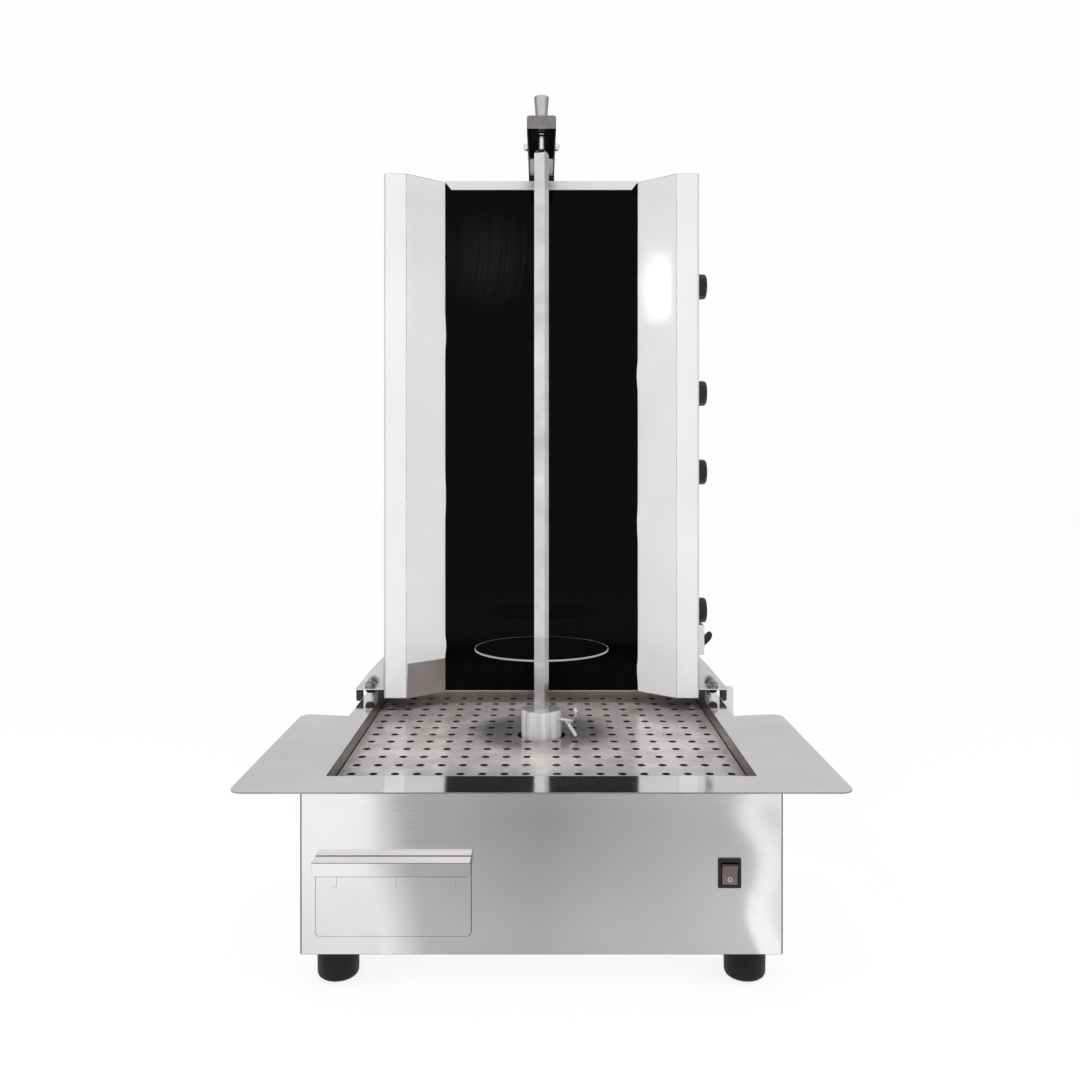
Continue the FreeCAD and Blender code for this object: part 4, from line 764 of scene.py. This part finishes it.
# %% Film on the wings
def film_skin(side, low, high, trims):
    """A skin over one wing. It starts at one height on the flat and at another on the
    slope, and the trims say how far the torn edge strays at some heights."""
    fold = [(225.1, 113.6), (215, 113.6), (205, 113.6), (197.4, 113.6), (195.8, 113.7),
            (194.3, 114.5), (193.2, 115.4)]
    bend = len(fold) - 1
    (bend_x, bend_y), (end_x, end_y) = fold[bend], (143.4, 159.4)
    fold += [(bend_x + (end_x - bend_x) * i / 8, bend_y + (end_y - bend_y) * i / 8)
             for i in range(1, 9)]
    rows, columns = int((high - low[0]) / 9), len(fold)
    vertices = []
    for row in range(rows + 1):
        loose = random.uniform(-0.15, 0.15)
        for column, (x, y) in enumerate(fold):
            start = low[1] if column >= bend else low[0]
            z = start + (high - start) * row / rows
            stray = loose + sum(amount * math.exp(-((z - height) / reach) ** 2)
                                for height, reach, amount in trims)
            share = max(0.0, (column - bend) / (columns - 1 - bend))
            nudge = random.uniform(-0.05, 0.0) if 0 < column < columns - 1 else 0
            vertices.append(((x - stray * share ** 4) * side, y + nudge, z))
    return worked(new_mesh(vertices, sheet_of(rows + 1, columns)), thicken(0.12))


for name, side, low, trims in (
        ("film_left", -1, (231.5, 280), ((300, 12, 2.0), (520, 30, 1.2), (760, 22, 1.6))),
        ("film_right", 1, (231.5, 231.5), ((262, 14, 1.5), (480, 24, 1.3), (700, 18, 2.0)))):
    add_piece(name, film_skin(side, low, TOWER_TOP - 0.6, trims), film_white, "tower",
              "film_white", angle=60)

# %% [markdown]
# Hexagon nuts are chamfered by turning, so their corners are cut by a cone: the prism is
# kept only where it lies inside a turned shape. Each sits on a washer, and a thread stands
# a little proud of it.

# %% Nuts and studs
FLANGE_TOP, NUT_FLATS, NUT_HIGH, WASHER_HIGH = 244.5, 6.5, 5.3, 1.2
nut_corners = NUT_FLATS / math.cos(math.pi / 6)
nut = cut_with(sawn(ring_of(6, nut_corners), 0, NUT_HIGH), turned([
    (0, 0), (NUT_FLATS * 0.98, 0), (nut_corners * 1.02, NUT_FLATS * 0.1),
    (nut_corners * 1.02, NUT_HIGH - NUT_FLATS * 0.1), (NUT_FLATS * 0.98, NUT_HIGH),
    (0, NUT_HIGH)], 48), operation="INTERSECT")
washer = turned([(3.9, 0), (7.4, 0), (7.6, 0.3), (7.6, 0.9), (7.4, WASHER_HIGH),
                 (3.9, WASHER_HIGH)])
stud = threaded(4, 0, 9.5)
BOLT_OUT, BOLT_ROWS = 249, (126, 243)
bolts = [(BOLT_OUT * side, y, 0.4 * side + y * 0.01) for side in (-1, 1) for y in BOLT_ROWS]
add_piece("carriage_fasteners", merged([
    piece for x, y, turn in bolts for piece in (
        (washer, at(x, y, FLANGE_TOP)), (nut, at(x, y, FLANGE_TOP + WASHER_HIGH, turn)),
        (stud, at(x, y, FLANGE_TOP)))]), zinc_plate, "tower", "zinc_fasteners",
    "carriage_nuts")
buffer = turned([(0, 236), (2.6, 236.2), (4.8, 237.2), (6.2, 239), (6.8, 241.2), (7, 243),
                 (0, 243)], 40)
add_piece("rubber_buffers", merged([(buffer, at(x, y, 0)) for x, y, _ in bolts]),
          rubber_black, "tower", "black_rubber", "carriage_buffers")

CLAMP_BACK, GUIDE_TOP, CLAMP_TOP = 200, 1005.7, 1030.4
clamp_washer = turned([(4.1, 0), (8.7, 0), (9, 0.3), (9, 1.3), (8.7, 1.6), (4.1, 1.6)])
clamp_stud = threaded(4, 0, CLAMP_TOP - GUIDE_TOP)
add_piece("clamp_fasteners", merged([
    (clamp_washer, at(0, CLAMP_BACK, ARM_TOP + 0.3)),
    (nut, at(0, CLAMP_BACK, ARM_TOP + 1.9, 0.3)), (clamp_stud, at(0, CLAMP_BACK, GUIDE_TOP))]),
    zinc_plate, "tower", "zinc_fasteners", "arm_clamp")

# %% [markdown]
# Two domed screws with a hexagon recess hold the channel's cheeks, one from each side.

# %% Domed screws
dome = turned([(0, -2), (3, -2), (3, 0), (5.05, 0), (5.25, 0.3), (5.25, 1.6), (5.0, 3.1),
               (4.4, 4.5), (3.5, 5.5), (2.6, 5.95), (0, 6)], 40)
dome = cut_with(dome, sawn(ring_of(6, 2.3), 3.4, 8))
dome.transform(SIDEWAYS)
CROSS_BACK, CROSS_LEVEL = 70, 1011
add_piece("domed_screws", merged([
    (dome, at(ARM_HALF, CROSS_BACK, CROSS_LEVEL)),
    (dome, at(-ARM_HALF, CROSS_BACK, CROSS_LEVEL, math.pi))]),
    steel_turned, "arm", "zinc_fasteners", "cross_bolt")

# %% [markdown]
# The pull knob on top is turned: a slow flare, a soft rim and a shallow dish. Under it a
# coil spring pushes the pin into the skewer. The spring is a tube along a helix whose ends
# lie flat.

# %% Pull knob and spring
PULL_LOW, PULL_TOP = 1020.6, 1049.5
flank = [(7.95 + 1.9 * t ** 1.25, PULL_LOW + 0.8 + (PULL_TOP - PULL_LOW - 1.9) * t)
         for t in [i / 10 for i in range(11)]]
add_piece("turned_pull", turned([
    (0, PULL_LOW), (7.2, PULL_LOW), (7.75, PULL_LOW + 0.25), *flank,
    (9.6, PULL_TOP - 0.6), (9.1, PULL_TOP - 0.12), (8.6, PULL_TOP), (7.4, PULL_TOP - 0.1),
    (3, PULL_TOP - 0.5), (0, PULL_TOP - 0.6)], 72), steel_grip, "plunger",
    "polished_stainless", "pull_knob", where=at(0, SPINDLE_Y, 0))


def wire_along(path, radius, sides=10):
    """A round wire along a path of points, closed at both ends."""
    vertices = []
    for i, spot in enumerate(path):
        here = Vector(spot)
        ahead = Vector(path[min(i + 1, len(path) - 1)]) - Vector(path[max(i - 1, 0)])
        ahead.normalize()
        side = ahead.cross(Vector((0, 0, 1))).normalized()
        up = side.cross(ahead)
        for j in range(sides):
            angle = 2 * math.pi * j / sides
            vertices.append(here + (side * math.cos(angle) + up * math.sin(angle)) * radius)
    ends = [[i * sides + j for j in range(sides)] for i in (0, len(path) - 1)]
    return new_mesh(vertices, bands(len(path), sides) + ends)


SPRING_LOW, SPRING_TOP, SPRING_ROUND, WIRE, TURNS = 1003.3, 1016.7, 4.15, 0.4, 5
coil = []
for step in range(TURNS * 24 + 1):
    turn = step / 24
    # the first and the last 0.8 of a turn lie almost flat
    rise = min(max((turn - 0.8) / (TURNS - 1.6), 0), 1)
    rise += (turn / TURNS - 0.5) * 0.12 * (1 - abs(2 * rise - 1))
    coil.append((SPRING_ROUND * math.cos(2 * math.pi * turn),
                 SPRING_ROUND * math.sin(2 * math.pi * turn),
                 SPRING_LOW + WIRE + (SPRING_TOP - SPRING_LOW - 2 * WIRE) * rise))
spring = add_piece("coil_spring", wire_along(coil, WIRE), zinc_plate, "arm",
                   "zinc_fasteners", "plunger_spring", where=at(0, SPINDLE_Y, 0), angle=60)
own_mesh(spring)

# %% [markdown]
# The heat knobs are moulded with twenty soft flutes for wet fingers, a domed cap and a
# white line that shows the setting. The flutes are a wave on the radius of a turned shape,
# and they fade out towards the panel.

# %% Heat knobs
KNOB_LEVELS, KNOB_BACK = (837.5, 675.7, 556.4, 346.7), 194
FLUTES, FLUTE_DEEP = 20, 0.55


def fluted_knob():
    section = [(4, 0.8, 0), (18.6, 0.8, 0), (19.5, 1.6, 0), (19.5, 4.2, 0.1), (19.4, 6, 0.9),
               (19.2, 12, 1), (18.9, 18.4, 1), (18.4, 20.4, 0.8), (17.2, 21.8, 0.3),
               (15.2, 22.5, 0), (10, 22.7, 0), (0.4, 22.7, 0)]
    steps = FLUTES * 8
    vertices = []
    for radius, height, share in section:
        for i in range(steps):
            angle = 2 * math.pi * i / steps
            r = radius - FLUTE_DEEP * share * (1 - math.cos(FLUTES * angle)) / 2
            vertices.append((r * math.cos(angle), r * math.sin(angle), height))
    cap = [(len(section) - 1) * steps + i for i in range(steps)]
    grip = new_mesh(vertices, bands(len(section), steps) + [cap])
    stem = turned([(0, -16.7), (4, -16.7), (4, 0.8), (0, 0.8)], 32)
    return merged([(grip, at(0, 0, 0)), (stem, at(0, 0, 0))])


for number, level in enumerate(KNOB_LEVELS, start=1):
    where = at(TOWER_HALF, KNOB_BACK, level) @ SIDEWAYS
    add_piece(f"knob_grip_{number}", fluted_knob(), plastic_black, f"heat_knob_{number}",
              "black_plastic", f"knob_{number}", where=where, angle=25)
    # the line starts upright: the knob's own minus X points up once it is turned
    line = sawn(oblong(-14.6, -6.3, -0.8, 0.8), 22.4, 22.8)
    add_piece(f"knob_line_{number}", line, paint_white, f"heat_knob_{number}",
              "block_plastic", where=where)

# %% [markdown]
# The latch lever is a small moulded hook that turns on a pin. Its outline runs smoothly,
# because the corners of a coarse outline are cut again and again.

# %% Latch lever
LEVER = ((-0.17, -0.12), (0.12, -0.17), (0.46, 0.06), (0.80, 0.36), (0.97, 0.62), (1.0, 0.86),
         (0.90, 1.0), (0.72, 0.97), (0.52, 0.80), (0.28, 0.52), (-0.02, 0.27), (-0.17, 0.10))
LEVER_OUT, LEVER_UP, LEVER_PIVOT = 17.7, 19.5, (233.7, 150, 301.5)
outline = [(LEVER_OUT * out, LEVER_UP * up) for out, up in LEVER]
for _ in range(2):
    outline = quarters(outline, outline[1:] + outline[:1])
lever = cut_with(sawn(outline, -6, 6, 0.9), turned([(0, -9), (1.56, -9), (1.56, 9), (0, 9)], 32))
add_piece("moulded_lever", lever, plastic_black, "latch_lever", "black_plastic",
          "latch_lever", where=at(*LEVER_PIVOT, math.pi / 2, "X"))

# %% [markdown]
# The mains switch has a rocker whose face is dished, so a finger finds its ends. Its
# section is a smooth curve, and a small ring is printed near the end that switches off.

# %% Rocker
SWITCH_X, SWITCH_Z = 202, 128
ROCKER_HALF, ROCKER_END, ROCKER_TILT = 8.2, 10.6, math.radians(9)


def dish(share):
    """Where the rocker's face lies, some share of the way from its middle to an end."""
    return -(2.75 + 2.95 * share ** 2)


face = [(dish(i / 8 - 1), ROCKER_END * (i / 8 - 1)) for i in range(17)]
sides = [(0, 9.9), (6, 5), (6, -5), (0, -9.9)]
paddle = sawn(face + sides, -ROCKER_HALF, ROCKER_HALF, 0.5)
# what was drawn as x, y and height becomes y, z and x
paddle.transform(Matrix(((0, 0, 1, 0), (1, 0, 0, 0), (0, 1, 0, 0), (0, 0, 0, 1))))
tilted = at(SWITCH_X, BASE_FRONT, SWITCH_Z, ROCKER_TILT, "X")
add_piece("rocker_paddle", paddle, plastic_rocker, "rocker", "rocker_grey", "rocker",
          where=tilted, angle=20)
RING_INNER, RING_OUTER, RING_LEVEL = 1.75, 2.25, -5.8
ring = [(x, dish((z + RING_LEVEL) / ROCKER_END) - 0.03, z + RING_LEVEL)
        for radius in (RING_INNER, RING_OUTER) for x, z in ring_of(40, radius)]
add_piece("rocker_ring", worked(new_mesh(ring, bands(2, 40)), thicken(0.04)), paint_white,
          "rocker", "block_plastic", where=tilted)

# %% [markdown]
# The sheets behind and under the machine are held by pan-head screws with a cross recess,
# set in from the corners, where such covers have them.

# %% Cover screws
head = turned([(0, 0), (3.3, 0), (3.5, 0.3), (3.3, 1.2), (2.6, 1.9), (1.4, 2.2), (0, 2.25)], 32)
bar = oblong(-1.6, 1.6, -0.35, 0.35)
head = cut_with(head, sawn(bar, 1.2, 3), sawn([(y, x) for x, y in reversed(bar)], 1.2, 3))
for name, body, back, columns, levels in (
        ("cover_screws", "base", 300, (-246, 0, 246), (52, 216)),
        ("tower_screws", "tower", 282.3, (-204, 204), (248, 424, 610, 796, 970))):
    spots = [(x, back, z) for x in columns for z in levels]
    add_piece(name, merged([
        (head, at(*spot, -math.pi / 2, "X") @ Matrix.Rotation(0.5 * i, 4, "Z"))
        for i, spot in enumerate(spots)]), zinc_plate, body, "zinc_fasteners")

# %% [markdown]
# A camera stands level in front of the machine, about a metre and a third from its middle
# and at the height of the lower heaters. It is shifted down a little, so upright edges stay
# upright in the picture while the machine sits in the middle of the square frame.

# %% Camera
CAMERA_DISTANCE, CAMERA_HEIGHT = 1356, 564
FOCAL_PIXELS, FRAME_PIXELS, SENSOR_MM = 1020, 1080, 36
camera_data = bpy.data.cameras.new("camera")
camera_data.sensor_width = SENSOR_MM
camera_data.lens = FOCAL_PIXELS / FRAME_PIXELS * SENSOR_MM
camera_data.shift_x = -1.5 / FRAME_PIXELS
camera_data.shift_y = -73 / FRAME_PIXELS
camera = put("camera", camera_data)
camera.location = point(0, -CAMERA_DISTANCE, CAMERA_HEIGHT)
camera.rotation_euler = (math.radians(90), 0, 0)
bpy.context.scene.camera = camera

# %% [markdown]
# The machine stands on a pale floor that runs out of the picture. Its white is the
# floor's own, seen straight or in polished steel, and under the feet it keeps a soft
# shadow, because part of it is still lit like any other surface.

# %% Floor and world
FAR, FLOOR_GLOW, FLOOR_SHARE, WORLD_FILL, WORLD_SEEN = 12000, 1.12, 0.7, 0.72, 0.99


def empty_tree(owner):
    """The nodes of a new material or world, with none in them yet."""
    owner.use_nodes = True
    owner.node_tree.nodes.clear()
    return owner.node_tree


def seen_ray(tree):
    """1 for rays from the camera, or that a polished or clear surface sends on."""
    path = add_node(tree, "ShaderNodeLightPath").outputs
    return chained(tree, "MAXIMUM", path["Is Camera Ray"], path["Is Glossy Ray"],
                   path["Is Transmission Ray"])


def add_stage(name, corners, material):
    mesh = new_mesh(corners, [list(range(len(corners)))])
    mesh.materials.append(material)
    prop = put(name, mesh)
    return prop


floor_material = bpy.data.materials.new("floor_painted_matt")
tree = empty_tree(floor_material)
lit = add_node(tree, "ShaderNodeBsdfDiffuse", {"Color": linear("#f4f4f4")}).outputs[0]
glowing = add_node(tree, "ShaderNodeEmission", {"Strength": FLOOR_GLOW}).outputs[0]
add_node(tree, "ShaderNodeOutputMaterial", {"Surface": add_node(
    tree, "ShaderNodeMixShader", {0: maths(tree, "MULTIPLY", seen_ray(tree), FLOOR_SHARE),
                                  1: lit, 2: glowing}).outputs[0]})
add_stage("floor", [(x, y, 0) for x, y in oblong(-FAR, FAR, -FAR, FAR)], floor_material)

world = bpy.data.worlds.new("studio")
bpy.context.scene.world = world
tree = empty_tree(world)
strength = add_node(tree, "ShaderNodeMapRange", {
    "Value": seen_ray(tree), "To Min": WORLD_FILL, "To Max": WORLD_SEEN}).outputs["Result"]
add_node(tree, "ShaderNodeOutputWorld", {"Surface": add_node(
    tree, "ShaderNodeBackground", {"Color": (1, 1, 1, 1), "Strength": strength}).outputs[0]})

# %% [markdown]
# Polished steel shows the studio more than itself. So the studio has cards that only
# reflections can see: a grey paper on the floor in front, with a bright rim, a smudge and
# paler shades around it, whose wavy edges bend again in the sheet; a pale screen far
# behind; and two dark flags high at the sides that give round pieces their dark edges.

# %% Cards that reflections see
def card_material(name, strength, *slopes, torn=0.0):
    """Grey light. Each slope adds to it along an axis, from one place to another, and a
    torn card also brightens towards its slanting left edge."""
    material = bpy.data.materials.new(name)
    tree = empty_tree(material)
    where = axes_of(tree, add_node(tree, "ShaderNodeTexCoord").outputs["Object"])
    for axis, start, end, more in slopes:
        strength = maths(tree, "ADD", strength, spread(
            tree, where[axis], 0.0, more, start * MM, end * MM))
    if torn:
        edge = maths(tree, "MULTIPLY_ADD", where["Y"], -0.19, where["X"])
        strength = maths(tree, "ADD", strength, spread(
            tree, edge, 0.0, torn, -66 * MM, -124 * MM))
    add_node(tree, "ShaderNodeOutputMaterial", {"Surface": add_node(
        tree, "ShaderNodeEmission", {"Strength": strength}).outputs[0]})
    return material


def add_card(name, corners, *light, torn=0.0):
    """A flat card that only glossy rays meet."""
    card = add_stage(name, corners, card_material(name, *light, torn=torn))
    card.visible_camera = card.visible_diffuse = card.visible_shadow = False
    card.visible_transmission = card.visible_volume_scatter = False


left_edge = [(-173, -262), (-188, -367), (-236, -612), (-283, -890), (-335, -1200)]
right_edge = [(400, -1200), (365, -960), (339, -890), (320, -840), (314, -798), (314, -740),
              (318, -680), (310, -620), (290, -548), (268, -492), (256, -440), (252, -400),
              (252, -355), (246, -262)]
add_card("paper_edge", [(x + 30, y, 1.5) for x, y in right_edge]
         + [(x - 40, y, 1.5) for x, y in right_edge[::-1]], 1.08)
add_card("paper_front", [(x, y, 2) for x, y in left_edge + right_edge], 0.33,
         ("Y", -740, -400, 0.13), ("X", 0, 231, 0.15), ("X", 0, -146, 0.08), torn=0.5)
add_card("smudge", [(375 + 14 * x, -802 + 60 * y, 2.5) for x, y in ring_of(24, 1)], 0.6)
add_card("shade_left", [(x, y, 1) for x, y in oblong(-700, 0, -640, -262)], 0.82,
         ("Y", -262, -640, 0.18))
add_card("shade_right", [(x, y, 1) for x, y in oblong(0, 700, -1100, -262)], 0.88)
SCREEN_BACK, FLAG_OUT = 2500, 2490
add_card("screen_behind", [(x, SCREEN_BACK, z) for x, z in oblong(-3000, 3000, 3, 4000)], 0.66)
for name, side in (("flag_left", -1), ("flag_right", 1)):
    add_card(name, [(FLAG_OUT * side, y, z) for y, z in oblong(-1500, FLAG_OUT, 1400, 2600)],
             0.25, ("Y", 300, -1200, 0.35))

# %% [markdown]
# A broad soft box lights it from in front, with a weak one at each side and one over the
# pan. A small tall one to the left shows as a glow in the film of the right-hand wing.

# %% Lamps
def soft_box(name, where, aim, wide, high, power, in_mirrors=False):
    data = bpy.data.lights.new(name, "AREA")
    data.shape = "RECTANGLE"
    data.size, data.size_y, data.energy = wide * MM, high * MM, power
    lamp = put(name, data)
    lamp.location = point(*where)
    lamp.rotation_euler = (point(*aim) - point(*where)).to_track_quat("-Z", "Y").to_euler()
    lamp.visible_glossy = in_mirrors
    return data


soft_box("key", (-300, -2700, 700), (0, 0, 500), 1600, 1200, 18)
soft_box("tall_left", (-1500, -270, 1125), (170, 137, 800), 62, 190, 0.5, in_mirrors=True)
over_pan = soft_box("over_pan", (0, -130, 900), (0, -40, 212), 300, 300, 0.6)
over_pan.spread = math.radians(42)
soft_box("fill_right", (1700, -900, 1200), (0, 0, 500), 900, 1200, 6)
soft_box("fill_left", (-1500, -600, 1100), (100, 100, 700), 600, 900, 4)

# %% Finish
bpy.context.scene.view_settings.view_transform = "Standard"
